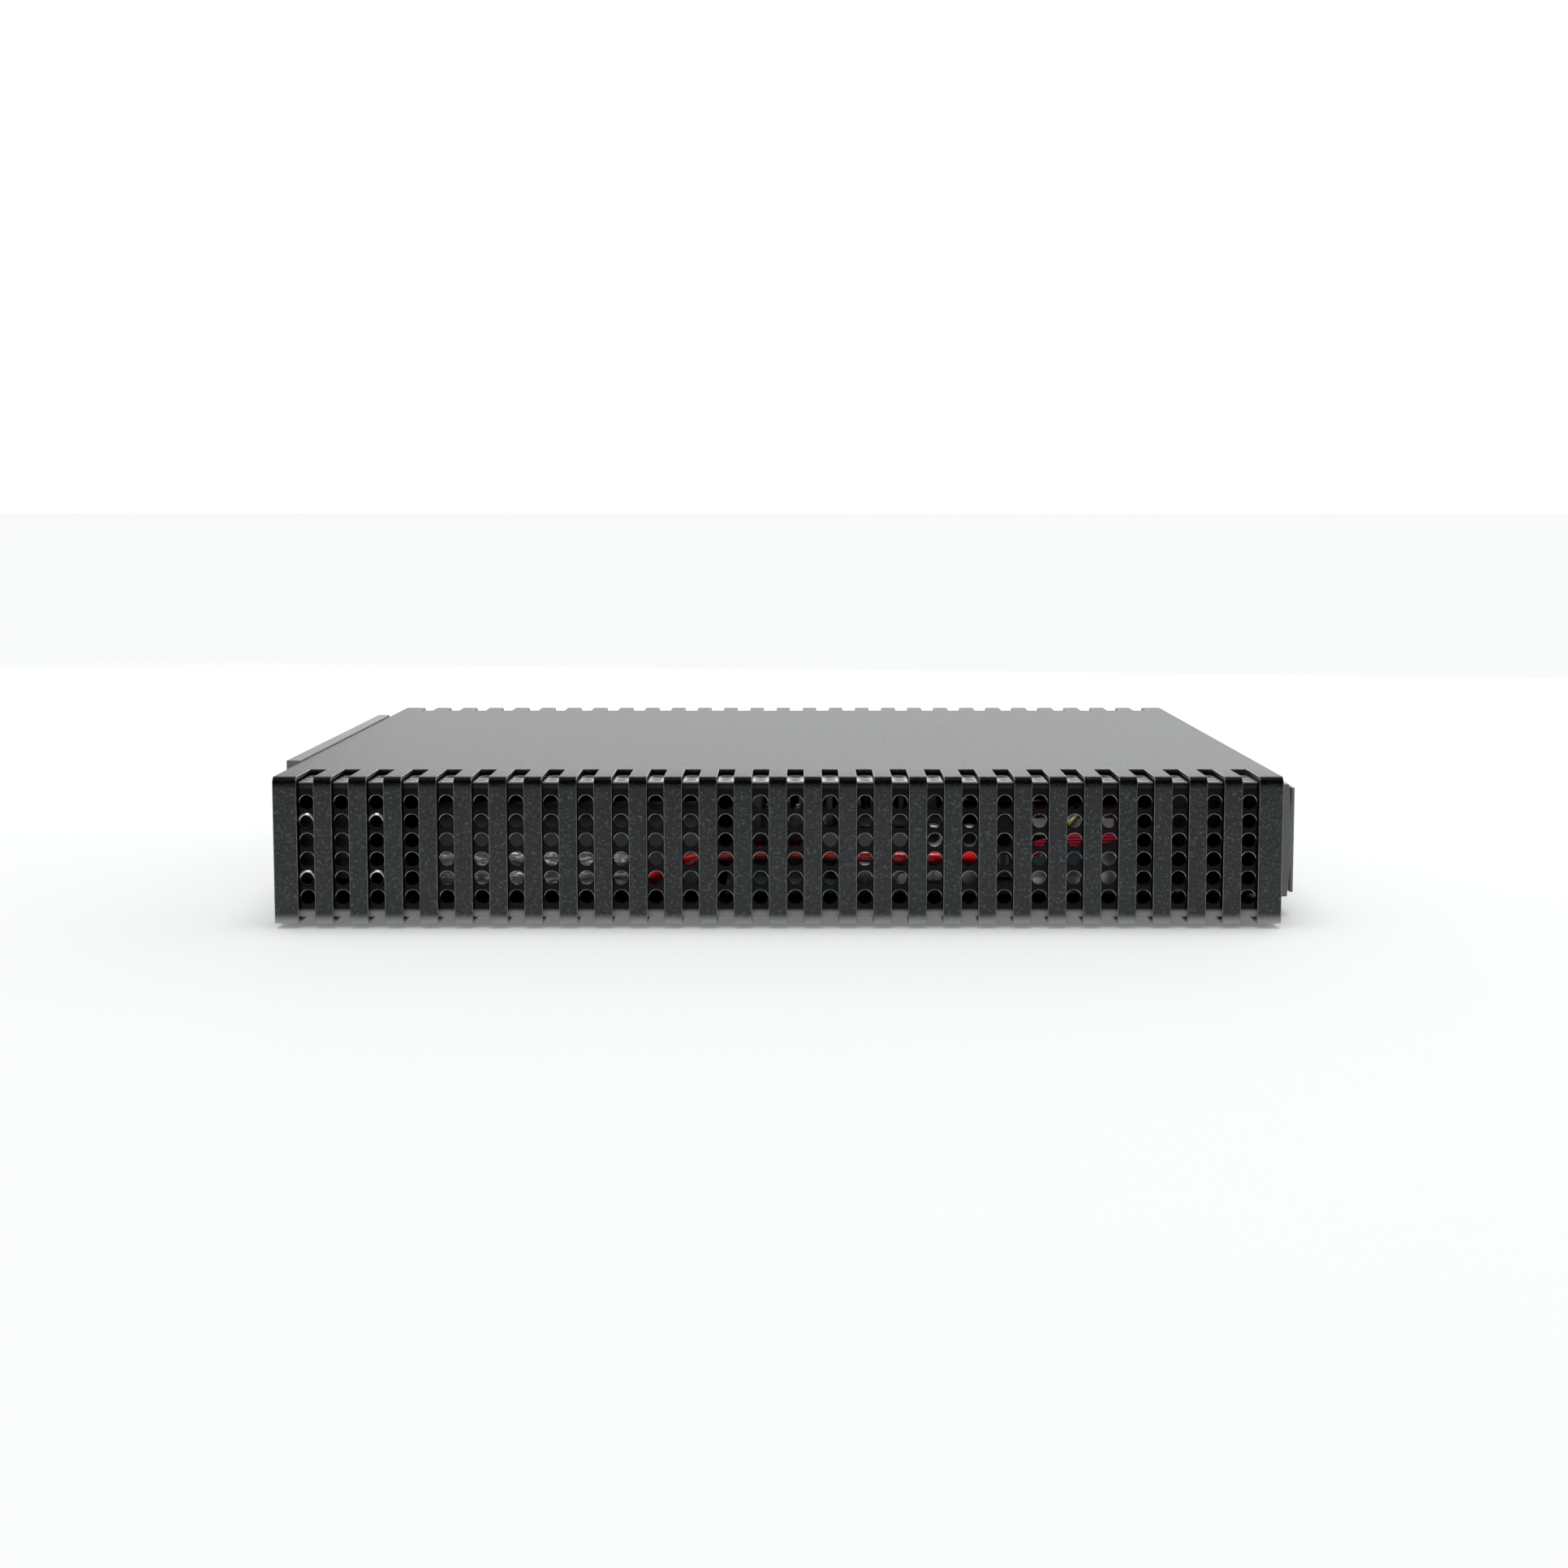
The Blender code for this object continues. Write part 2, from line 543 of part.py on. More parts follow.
def make_mains_inlet():
    flange_x = WALL_LEFT - GAP - INLET_FLANGE[0]
    body_end = flange_x + INLET_BODY[0]
    half_y = INLET_FLANGE[1] / 2
    half_z = INLET_FLANGE[2] / 2
    inlet = add_box("mains_inlet", (flange_x, INLET_Y - half_y, MID_Z - half_z),
                    (WALL_LEFT - GAP, INLET_Y + half_y, MID_Z + half_z), "dark_plastic")
    body = cutter_of_boxes("inlet_body", [(
        (flange_x + 0.5 * MM, INLET_Y - INLET_BODY[1] / 2, MID_Z - INLET_BODY[2] / 2),
        (body_end, INLET_Y + INLET_BODY[1] / 2, MID_Z + INLET_BODY[2] / 2))])
    combine(inlet, body, 'UNION')
    mouth = cutter_of_boxes("inlet_mouth", [(
        (flange_x - 2 * MM, INLET_Y - INLET_MOUTH[0] / 2, MID_Z - INLET_MOUTH[1] / 2),
        (flange_x + INLET_MOUTH_DEPTH, INLET_Y + INLET_MOUTH[0] / 2, MID_Z + INLET_MOUTH[1] / 2))])
    combine(inlet, mouth, 'DIFFERENCE')
    pin_end = flange_x + INLET_MOUTH_DEPTH + 1 * MM
    pins = []
    for offset_y, offset_z in ((-PIN_SPREAD, -2 * MM), (0, 2 * MM), (PIN_SPREAD, -2 * MM)):
        centre = Vector((pin_end - PIN_SIZE[0] / 2, INLET_Y + offset_y, MID_Z + offset_z))
        pins.append((centre - Vector(PIN_SIZE) / 2, centre + Vector(PIN_SIZE) / 2))
    combine(inlet, cutter_of_boxes("inlet_pins", pins), 'UNION')


def make_switch():
    """The housing is a flanged open box, and the rocker turns in it about a pin along Y."""
    flange_x = PLATE_FACE + SWITCH_POCKET - GAP - SWITCH_FLANGE[0]
    housing = add_box(
        "switch_housing",
        (flange_x, SWITCH_Y - SWITCH_FLANGE[1] / 2, MID_Z - SWITCH_FLANGE[2] / 2),
        (flange_x + SWITCH_FLANGE[0], SWITCH_Y + SWITCH_FLANGE[1] / 2, MID_Z + SWITCH_FLANGE[2] / 2),
        "dark_plastic")
    body = cutter_of_boxes("switch_body", [(
        (flange_x + 0.5 * MM, SWITCH_Y - SWITCH_BODY[1] / 2, MID_Z - SWITCH_BODY[2] / 2),
        (flange_x + SWITCH_BODY[0], SWITCH_Y + SWITCH_BODY[1] / 2, MID_Z + SWITCH_BODY[2] / 2))])
    combine(housing, body, 'UNION')
    half_y = ROCKER_SIZE[1] / 2 + ROCKER_ROOM
    half_z = ROCKER_SIZE[2] / 2 + ROCKER_ROOM
    well = cutter_of_boxes("switch_well", [(
        (flange_x - 2 * MM, SWITCH_Y - half_y, MID_Z - half_z),
        (flange_x + SWITCH_WELL, SWITCH_Y + half_y, MID_Z + half_z))])
    combine(housing, well, 'DIFFERENCE')

    bm = bmesh.new()
    length, width, height = ROCKER_SIZE
    bm_box(bm, (-length / 2, -width / 2, -height / 2), (length / 2, width / 2, height / 2))
    bmesh.ops.bisect_plane(bm, geom=bm.verts[:] + bm.edges[:] + bm.faces[:],
                           plane_co=(0, 0, 0), plane_no=(0, 0, 1))
    for vert in bm.verts:
        if abs(vert.co.z) < height / 4 and vert.co.x < 0:
            vert.co.x += ROCKER_DIP
        if abs(vert.co.z) > height / 4 and vert.co.x > 0:
            vert.co.x -= ROCKER_TAPER
    rocker = add_object("switch_rocker", bm, (flange_x + ROCKER_PIN_BACK, SWITCH_Y, MID_Z), "dark_plastic",
                        smooth=False)
    rocker.rotation_euler.y = ROCKER_TILT


def operator_openings():
    reach = (WALL_RIGHT - 3 * MM, BEZEL_FACE + 2 * MM)
    boxes = [
        opening(reach, USB_Y, USB_SIZE[1], PART_Z, PART_Z + USB_SIZE[2]),
        opening(reach, CONSOLE_Y, JACK_WIDTH, PART_Z, PART_Z + JACK_SINGLE_HEIGHT),
        opening(reach, LIGHT_PIPE_Y, LIGHT_PIPE_SIZE[1],
                MID_Z - LIGHT_PIPE_SIZE[2] / 2, MID_Z + LIGHT_PIPE_SIZE[2] / 2),
    ]
    return cutter_of_boxes("operator_openings", boxes)


def button_holes():
    bm = bmesh.new()
    for y, radius, sides in ((POWER_BUTTON_Y, POWER_BUTTON_RADIUS, 24),
                             (RESET_BUTTON_Y, RESET_BUTTON_RADIUS, 12)):
        bm_rod(bm, (SLEEVE_RIGHT + 5 * MM, y, MID_Z), radius + CLEARANCE, 10.4 * MM, "X", sides)
    return add_object("button_holes", bm, smooth=False)


def make_operator_end():
    openings = operator_openings()
    holes = button_holes()
    wall = make_end_wall("right_end_wall", WALL_RIGHT, -1)
    combine(wall, openings, 'DIFFERENCE')

    base_end = SLEEVE_RIGHT + BEZEL_BASE_PROUD
    base = add_box("bezel_base",
                   (SLEEVE_RIGHT + GAP, -BEZEL_LENGTH / 2, MID_Z - BEZEL_BASE_HEIGHT / 2),
                   (base_end, BEZEL_LENGTH / 2, MID_Z + BEZEL_BASE_HEIGHT / 2), "grey_plastic", 0.6 * MM)
    half = BEZEL_LENGTH / 2 - BEZEL_STEP
    face = add_box("bezel_face", (base_end + GAP, -half, MID_Z - BEZEL_FACE_HEIGHT / 2),
                   (BEZEL_FACE, half, MID_Z + BEZEL_FACE_HEIGHT / 2), "grey_plastic", 0.8 * MM)
    for layer in (base, face):
        combine(layer, openings, 'DIFFERENCE')
        combine(layer, holes, 'DIFFERENCE')

    front = BEZEL_FACE - RECESS
    pipe_low = Vector((front - LIGHT_PIPE_SIZE[0], LIGHT_PIPE_Y - LIGHT_PIPE_SIZE[1] / 2,
                       MID_Z - LIGHT_PIPE_SIZE[2] / 2))
    add_box("light_pipe", pipe_low, pipe_low + Vector(LIGHT_PIPE_SIZE), "clear_acrylic", 0.3 * MM)


def make_button(name, centre_y, radius, length, recess, sides):
    bm = bmesh.new()
    bm_rod(bm, (-length / 2, 0, 0), radius, length, "X", sides)
    button = add_object(name, bm, (BEZEL_FACE - recess, centre_y, MID_Z), "dark_plastic")
    add_bevel(button, radius * 0.12)


def make_usb_socket():
    front = BEZEL_FACE - RECESS
    length, width, height = USB_SIZE
    socket = add_box("usb_socket", (front - length, USB_Y - width / 2, PART_Z),
                     (front, USB_Y + width / 2, PART_Z + height), "satin_zinc")
    mouths = []
    tongues = []
    for low_z in (PART_Z + USB_MOUTH_INSET, PART_Z + height - USB_MOUTH_INSET - USB_MOUTH[1]):
        mouths.append(((front - USB_MOUTH_DEPTH, USB_Y - USB_MOUTH[0] / 2, low_z),
                       (front + 2 * MM, USB_Y + USB_MOUTH[0] / 2, low_z + USB_MOUTH[1])))
        tongues.append((
            (front - USB_MOUTH_DEPTH - 1 * MM, USB_Y - USB_TONGUE_HALF, low_z + USB_TONGUE_Z[0]),
            (front - 1 * MM, USB_Y + USB_TONGUE_HALF, low_z + USB_TONGUE_Z[1])))
    combine(socket, cutter_of_boxes("usb_mouths", mouths), 'DIFFERENCE')
    combine(socket, cutter_of_boxes("usb_tongues", tongues), 'UNION')


def make_console_jack():
    front = BEZEL_FACE - RECESS
    jack = add_box("console_jack", (front - JACK_DEPTH, CONSOLE_Y - JACK_WIDTH / 2, PART_Z),
                   (front, CONSOLE_Y + JACK_WIDTH / 2, PART_Z + JACK_SINGLE_HEIGHT), "satin_zinc")
    for cutter in jack_cutters("console_jack", front, -1, CONSOLE_Y, ((PART_Z + CONSOLE_MOUTH_LOW, -1),)):
        combine(jack, cutter, 'DIFFERENCE')


def make_board():
    """An L: the whole width behind the power supply, and forward to the vents on the right."""
    bm = bmesh.new()
    bm_box(bm, (BOARD_LEFT, BOARD_STEP_Y, BOARD_UNDERSIDE), (BOARD_RIGHT, BOARD_REAR, BOARD_TOP))
    bmesh.ops.bisect_plane(bm, geom=bm.verts[:] + bm.edges[:] + bm.faces[:],
                           plane_co=(BOARD_STEP_X, 0, 0), plane_no=(1, 0, 0))
    bm.normal_update()
    lobe = [f for f in bm.faces if f.normal.y < -0.9 and f.calc_center_median().x > BOARD_STEP_X]
    moved = bmesh.ops.extrude_face_region(bm, geom=lobe)["geom"]
    bmesh.ops.delete(bm, geom=lobe, context='FACES')
    corners = [v for v in moved if isinstance(v, bmesh.types.BMVert)]
    bmesh.ops.translate(bm, verts=corners, vec=(0, BOARD_FRONT - BOARD_STEP_Y, 0))
    add_object("motherboard", bm, finish="solder_mask", smooth=False)


def make_standoffs():
    height = BOARD_UNDERSIDE - FLOOR_TOP - 2 * GAP
    left = BOARD_LEFT + STANDOFF_INSET
    right = BOARD_RIGHT - STANDOFF_INSET
    places = ((left, BOARD_REAR - STANDOFF_INSET), (right, BOARD_REAR - STANDOFF_INSET),
              (left, BOARD_STEP_Y + STANDOFF_INSET), (right, BOARD_FRONT + STANDOFF_INSET))
    for index, (x, y) in enumerate(places):
        bm = bmesh.new()
        bm_rod(bm, (0, 0, 0), STANDOFF_RADIUS, height, "Z", 6)
        add_object(f"standoff_{index + 1}", bm, (x, y, FLOOR_TOP + GAP + height / 2), "bright_steel",
                   smooth=False)


def make_heatsink():
    """A block with the gaps between its fins sawn down from the top."""
    low = Vector((*HEATSINK_LOW, PART_Z))
    high = Vector((*HEATSINK_HIGH, PART_Z + HEATSINK_HEIGHT))
    heatsink = add_box("cpu_heatsink", low, high, "anodised")
    pitch = (high.x - low.x) / HEATSINK_FINS
    past = 2 * MM
    saws = []
    for index in range(1, HEATSINK_FINS):
        x = low.x + index * pitch
        saws.append(((x - FIN_GAP / 2, low.y - past, low.z + HEATSINK_BASE),
                     (x + FIN_GAP / 2, high.y + past, high.z + past)))
    combine(heatsink, cutter_of_boxes("fin_gaps", saws), 'DIFFERENCE')


def make_board_parts():
    level = Vector((0, 0, PART_Z))
    for name, low, high, finish in BOARD_PARTS:
        add_box(name, Vector(low) * MM + level, Vector(high) * MM + level, finish)
    add_box("power_terminal", (TERMINAL_LOW.x, TERMINAL_LOW.y, PART_Z), TERMINAL_HIGH, "dark_plastic",
            0.6 * MM)
    add_box("riser_card", (RISER_LOW.x, RISER_LOW.y, PART_Z), RISER_HIGH, "solder_mask")
    add_box("header_connector", HEADER_LOW, HEADER_HIGH, "white_nylon", 0.4 * MM)


def make_power_supply():
    add_box("power_supply", SUPPLY_LOW, SUPPLY_HIGH, "satin_zinc", 0.8 * MM)


def smooth_route(points, steps):
    """Points on a Catmull-Rom curve through a route given in millimetres."""
    route = [Vector(p) * MM for p in points]
    first = route[0] * 2 - route[1]
    last = route[-1] * 2 - route[-2]
    padded = [first] + route + [last]
    result = []
    for i in range(1, len(padded) - 2):
        a, b, c, d = padded[i - 1:i + 3]
        for step in range(steps):
            t = step / steps
            result.append(0.5 * ((2 * b) + (c - a) * t + (2 * a - 5 * b + 4 * c - d) * t ** 2
                                 + (3 * b - a - 3 * c + d) * t ** 3))
    result.append(route[-1])
    return result


def add_lead(name, points, radius, finish):
    curve = bpy.data.curves.new(name, 'CURVE')
    curve.dimensions = '3D'
    curve.bevel_depth = radius
    curve.bevel_resolution = 2
    curve.use_fill_caps = True
    spline = curve.splines.new('POLY')
    spline.points.add(len(points) - 1)
    for slot, point in zip(spline.points, points):
        slot.co = (*point, 1)
    curve.materials.append(finish_material(name, finish))
    obj = bpy.data.objects.new(name, curve)
    PARTS.objects.link(obj)


def make_leads():
    add_lead("dc_lead", smooth_route(DC_LEAD_ROUTE, 3), DC_LEAD_RADIUS, "red_sheath")
    left, right = ([(column + x, y, z) for x, y, z in WIRE_TOP_ROUTE] for column in WIRE_COLUMNS)
    wires = ((left, "red_sheath"), (WIRE_FRONT_ROUTE, "yellow_sheath"), (right, "red_sheath"))
    for index, (route, sheath) in enumerate(wires):
        add_lead(f"header_wire_{index + 1}", smooth_route(route, 1), WIRE_RADIUS, sheath)


def make_ribbon():
    """A flat cable on edge: its lower edge follows the route, and it stands up from there."""
    bm = bmesh.new()
    verts = [bm.verts.new(point) for point in smooth_route(RIBBON_ROUTE, 2)]
    edges = [bm.edges.new(pair) for pair in zip(verts, verts[1:])]
    top = bmesh.ops.extrude_edge_only(bm, edges=edges)["geom"]
    bmesh.ops.translate(bm, verts=[v for v in top if isinstance(v, bmesh.types.BMVert)],
                        vec=(0, 0, RIBBON_HEIGHT))
    bmesh.ops.recalc_face_normals(bm, faces=bm.faces)
    ribbon = add_object("ribbon_cable", bm, finish="crimson_ribbon")
    sheet = ribbon.modifiers.new("thickness", 'SOLIDIFY')
    sheet.thickness = RIBBON_THICK
    sheet.offset = 0


def fan_places():
    return [SLEEVE_X + step * FAN_STEP for step in (-1, 0, 1)]


def make_fan_frame(index, fan_x):
    half = FAN_SIZE / 2
    frame = add_box(f"fan_frame_{index}", (fan_x - half, FAN_Y - FAN_DEPTH / 2, MID_Z - half),
                    (fan_x + half, FAN_Y + FAN_DEPTH / 2, MID_Z + half), "dark_plastic")
    centre = Vector((fan_x, FAN_Y, MID_Z))
    bore = cutter_of_rods(f"fan_bore_{index}", [centre], FAN_BORE, FAN_DEPTH + 4 * MM, "Y", 32)
    combine(frame, bore, 'DIFFERENCE')
    bm = bmesh.new()
    strut_y = FAN_DEPTH / 2 - FAN_STRUT_INSET
    thick = FAN_STRUT / 2
    end = half - 0.5 * MM
    bm_box(bm, (-end, strut_y - thick, -thick), (end, strut_y + thick, thick))
    bar = add_object(f"fan_strut_{index}", bm, centre, smooth=False)
    combine(frame, bar, 'UNION')
    seat = cutter_of_rods(f"fan_seat_{index}", [centre + Vector((0, strut_y - 0.2 * MM, 0))],
                          FAN_HUB_RADIUS, 2 * MM, "Y", 16)
    combine(frame, seat, 'UNION')


def make_fan_rotor(index, fan_x):
    """Hub with every second side drawn out into a blade that twists along the way."""
    bm = bmesh.new()
    bm_rod(bm, (0, 0, 0), FAN_HUB_RADIUS, ROTOR_DEPTH, "Y", 2 * FAN_BLADES)
    bm.normal_update()
    sides = [f for f in bm.faces if abs(f.normal.y) < 0.5]
    sides.sort(key=lambda f: math.atan2(f.normal.z, f.normal.x))
    for face in sides[::2]:
        outward = face.normal.copy()
        grown = bmesh.ops.extrude_discrete_faces(bm, faces=[face])["faces"][0]
        tip = list(grown.verts)
        bmesh.ops.translate(bm, verts=tip, vec=outward * (FAN_BLADE_TIP - FAN_HUB_RADIUS))
        middle = grown.calc_center_median()
        twist = Matrix.Rotation(BLADE_TWIST, 4, outward)
        bmesh.ops.rotate(bm, verts=tip, cent=middle, matrix=twist)
        bmesh.ops.scale(bm, verts=tip, vec=(BLADE_TIP_SCALE,) * 3,
                        space=Matrix.Translation(-middle))
    add_object(f"fan_rotor_{index}", bm, (fan_x, FAN_Y - ROTOR_FORWARD, MID_Z), "dark_plastic")


def make_feet():
    for index, (x, y) in enumerate(corner_places(*FOOT_INSET)):
        bm = bmesh.new()
        bm_rod(bm, (0, 0, FOOT_HEIGHT / 2), FOOT_RADIUS, FOOT_HEIGHT, "Z", 24)
        foot = add_object(f"foot_{index + 1}", bm, (x, y, 0), "black_rubber")
        add_bevel(foot, 0.3 * MM)


def make_screws():
    top = SLEEVE_BOTTOM - GAP
    for index, (x, y) in enumerate(corner_places(*SCREW_INSET)):
        bm = bmesh.new()
        bm_rod(bm, (0, 0, -SCREW_HEAD_THICK / 2), SCREW_HEAD_RADIUS, SCREW_HEAD_THICK, "Z", 18)
        screw = add_object(f"bottom_screw_{index + 1}", bm, (x, y, top), "bright_steel", smooth=False)
        shank = cutter_of_rods(f"screw_shank_{index + 1}", [(x, y, top + 1.7 * MM)],
                               SCREW_SHANK_RADIUS, 4.0 * MM, "Z", 12)
        combine(screw, shank, 'UNION')


def make_clinch_nuts():
    """Flanged rings turned about Y: a barrel through the panel and a lip in front of it."""
    lip = 0.5 * MM
    profile = ((NUT_BORE_RADIUS, 2.2 * MM), (NUT_BARREL_RADIUS, 2.2 * MM), (NUT_BARREL_RADIUS, -GAP),
               (NUT_FLANGE_RADIUS, -GAP), (NUT_FLANGE_RADIUS - 0.2 * MM, -GAP - lip),
               (NUT_BORE_RADIUS, -GAP - lip))
    number = 0
    for column in NUT_COLUMNS:
        for row in NUT_ROWS:
            number += 1
            bm = bmesh.new()
            verts = [bm.verts.new((radius, y, 0)) for radius, y in profile]
            ring = [bm.edges.new((verts[i], verts[(i + 1) % len(verts)])) for i in range(len(verts))]
            bmesh.ops.spin(bm, geom=verts + ring, cent=(0, 0, 0), axis=(0, 1, 0), steps=12,
                           angle=2 * math.pi, use_merge=True, use_duplicate=False)
            bmesh.ops.remove_doubles(bm, verts=bm.verts, dist=0.01 * MM)
            bmesh.ops.recalc_face_normals(bm, faces=bm.faces)
            add_object(f"clinch_nut_{number}", bm, (column_x(column), -PANEL_Y, row_z(row)),
                       "bright_steel")


def main():
    screw_cutter = screw_holes()
    make_sleeve(screw_cutter)
    make_front_panel()
    make_rear_panel()
    make_floor_and_lid(screw_cutter)
    make_connector_end()
    make_jack_stacks()
    make_cages()
    make_mains_inlet()
    make_switch()
    make_operator_end()
    make_button("power_button", POWER_BUTTON_Y, POWER_BUTTON_RADIUS, 6.4 * MM, 0.4 * MM, 24)
    make_button("reset_button", RESET_BUTTON_Y, RESET_BUTTON_RADIUS, 5.4 * MM, 1.2 * MM, 12)
    make_usb_socket()
    make_console_jack()
    make_board()
    make_standoffs()
    make_heatsink()
    make_board_parts()
    make_power_supply()
    make_leads()
    make_ribbon()
    for index, fan_x in enumerate(fan_places(), start=1):
        make_fan_frame(index, fan_x)
        make_fan_rotor(index, fan_x)
    make_feet()
    make_screws()
    make_clinch_nuts()


main()
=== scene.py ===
import math

import bmesh
import bpy
from mathutils import Matrix, Vector


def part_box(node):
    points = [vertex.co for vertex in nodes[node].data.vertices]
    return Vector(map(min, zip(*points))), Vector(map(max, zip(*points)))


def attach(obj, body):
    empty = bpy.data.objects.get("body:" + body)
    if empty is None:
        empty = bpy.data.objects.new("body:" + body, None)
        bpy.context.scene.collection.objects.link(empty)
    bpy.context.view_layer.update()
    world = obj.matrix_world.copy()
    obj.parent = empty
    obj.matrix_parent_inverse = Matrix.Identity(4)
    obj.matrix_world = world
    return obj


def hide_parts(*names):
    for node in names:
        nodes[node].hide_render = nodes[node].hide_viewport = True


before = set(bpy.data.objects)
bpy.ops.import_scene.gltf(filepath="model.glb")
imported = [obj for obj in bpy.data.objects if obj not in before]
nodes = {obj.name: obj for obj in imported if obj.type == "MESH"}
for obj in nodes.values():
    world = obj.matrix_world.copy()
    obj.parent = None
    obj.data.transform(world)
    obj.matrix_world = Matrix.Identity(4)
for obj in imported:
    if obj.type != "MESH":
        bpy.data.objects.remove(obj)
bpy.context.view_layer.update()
mm = 0.001

sleeveLow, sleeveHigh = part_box("outer_sleeve")
sleeveMid = (sleeveLow + sleeveHigh) / 2
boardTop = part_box("motherboard")[1].z
holePitch = 5.7 * mm
sameSpot = 0.01 * mm


# camera and studio

studio = {
    "lens": 59.63,                     # mm, on a 36 mm sensor
    "pitch": 83.9,                     # degrees from straight down
    "beside": 6.4 * mm,                # camera to the right of the sleeve's middle
    "before": 765.6 * mm,              # in front of the slotted face
    "above": 79.8 * mm,                # over the sleeve's top
    "shift": -0.00983,
    "floorNear": -0.66,
    "floorFar": 60.0,
    "floorWide": 80.0,
    "floorColour": (0.9, 0.9, 0.9, 1),
    "floorGlow": 0.17,
    "glowColour": (0.97, 1.0, 1.0, 1),
}
sky = {"front": 0.05, "behind": 0.30, "horizon": 0.78, "behindRight": 0.26, "above": 3.1,
       "sideRight": 0.13, "sideLeft": 0.38, "behindSpan": (-0.25, 0.25), "aboveSpan": (0.84, 0.98),
       "horizonSpan": (0.19, 0.25), "rightSpan": (-0.2, 0.7), "tint": (0.99, 1.0, 1.0, 1)}
insideLamps = {
    "insideLeft": ((-75, -129.6, 39.4), (-75, -112, 13), (66, 3), 0.0065),
    "insideMiddle": ((10, -129.6, 39.4), (10, -112, 15), (100, 3), 0.009),
    "insideRight": ((86, -129.6, 39.4), (86, -112, 16), (34, 3), 0.0015),
}
insideSpread = 62
lamps = {
    "raisedBack": ((0.22, 0.95, 0.4), (0.02, -0.1, 0.04), (1.3, 0.4), 2.0),
}


def buildCamera():
    data = bpy.data.cameras.new("productCamera")
    data.lens = studio["lens"]
    data.sensor_width = 36
    data.shift_x = studio["shift"]
    data.clip_start = 0.01
    data.clip_end = 50
    camera = bpy.data.objects.new("productCamera", data)
    bpy.context.scene.collection.objects.link(camera)
    camera.location = (sleeveMid.x + studio["beside"], sleeveLow.y - studio["before"],
                       sleeveHigh.z + studio["above"])
    camera.rotation_euler = (math.radians(studio["pitch"]), 0, 0)
    bpy.context.scene.camera = camera


def addAreaLight(name, place, target, size, power, visible=True, spread=180):
    data = bpy.data.lights.new(name, "AREA")
    data.shape = "RECTANGLE"
    data.size, data.size_y = size
    data.energy = power
    data.spread = math.radians(spread)
    light = bpy.data.objects.new(name, data)
    bpy.context.scene.collection.objects.link(light)
    light.visible_camera = visible
    light.location = place
    light.rotation_euler = (Vector(target) - Vector(place)).to_track_quat("-Z", "Y").to_euler()


# shader maths: a wrapped socket that takes part in ordinary expressions


class Flow:
    def __init__(self, tree, socket=None):
        self.tree = tree
        self.socket = socket

    def node(self, kind, settings=None, inputs=None, output=0):
        made = self.tree.nodes.new(kind)
        for name, value in (settings or {}).items():
            setattr(made, name, value)
        for name, value in (inputs or {}).items():
            if isinstance(value, Flow):
                self.tree.links.new(value.socket, made.inputs[name])
            else:
                made.inputs[name].default_value = value
        return Flow(self.tree, made.outputs[output])

    def maths(self, operation, first, second=0.0):
        return self.node("ShaderNodeMath", {"operation": operation}, {0: first, 1: second})

    def size(self):
        return self.maths("ABSOLUTE", self)

    def __add__(self, other):
        return self.maths("ADD", self, other)

    def __radd__(self, other):
        return self.maths("ADD", other, self)

    def __sub__(self, other):
        return self.maths("SUBTRACT", self, other)

    def __rsub__(self, other):
        return self.maths("SUBTRACT", other, self)

    def __mul__(self, other):
        return self.maths("MULTIPLY", self, other)

    def __rmul__(self, other):
        return self.maths("MULTIPLY", other, self)

    def above(self, level):
        return self.maths("GREATER_THAN", self, level)

    def eased(self, low, high):
        return self.node("ShaderNodeMapRange", {"interpolation_type": "SMOOTHSTEP"},
                         {"Value": self, "From Min": low, "From Max": high})

    def mixed(self, dark, light):
        return self.node("ShaderNodeMix", {"data_type": "RGBA"}, {0: self, 6: dark, 7: light}, 2)

    def placed(self, scale, turn=(0, 0, 0)):
        return self.node("ShaderNodeMapping", {}, {"Vector": self, "Scale": scale, "Rotation": turn})

    def noise(self, scale, detail=2.0, rough=0.5):
        return self.node("ShaderNodeTexNoise", {}, {"Vector": self, "Scale": scale, "Detail": detail,
                                                    "Roughness": rough})

    def cells(self, scale, feature="F1"):
        return self.node("ShaderNodeTexVoronoi", {"feature": feature}, {"Vector": self, "Scale": scale})

    def part(self, axis):
        return self.node("ShaderNodeSeparateXYZ", {}, {0: self}, "XYZ".index(axis))

    def bump(self, strength, distance):
        return self.node("ShaderNodeBump", {}, {"Height": self, "Strength": strength,
                                                "Distance": distance})


def grey(level, tint=(1, 1, 1)):
    return (level * tint[0], level * tint[1], level * tint[2], 1)


def startMaterial(name, **constants):
    material = bpy.data.materials.new(name)
    material.use_nodes = True
    shader = material.node_tree.nodes["Principled BSDF"]
    for key, value in constants.items():
        shader.inputs[key.replace("_", " ")].default_value = value
    flow = Flow(material.node_tree)
    coords = flow.node("ShaderNodeTexCoord", output="Object")
    return material, shader, coords


def feed(shader, **sockets):
    for key, flow in sockets.items():
        flow.tree.links.new(flow.socket, shader.inputs[key.replace("_", " ")])


# finishes

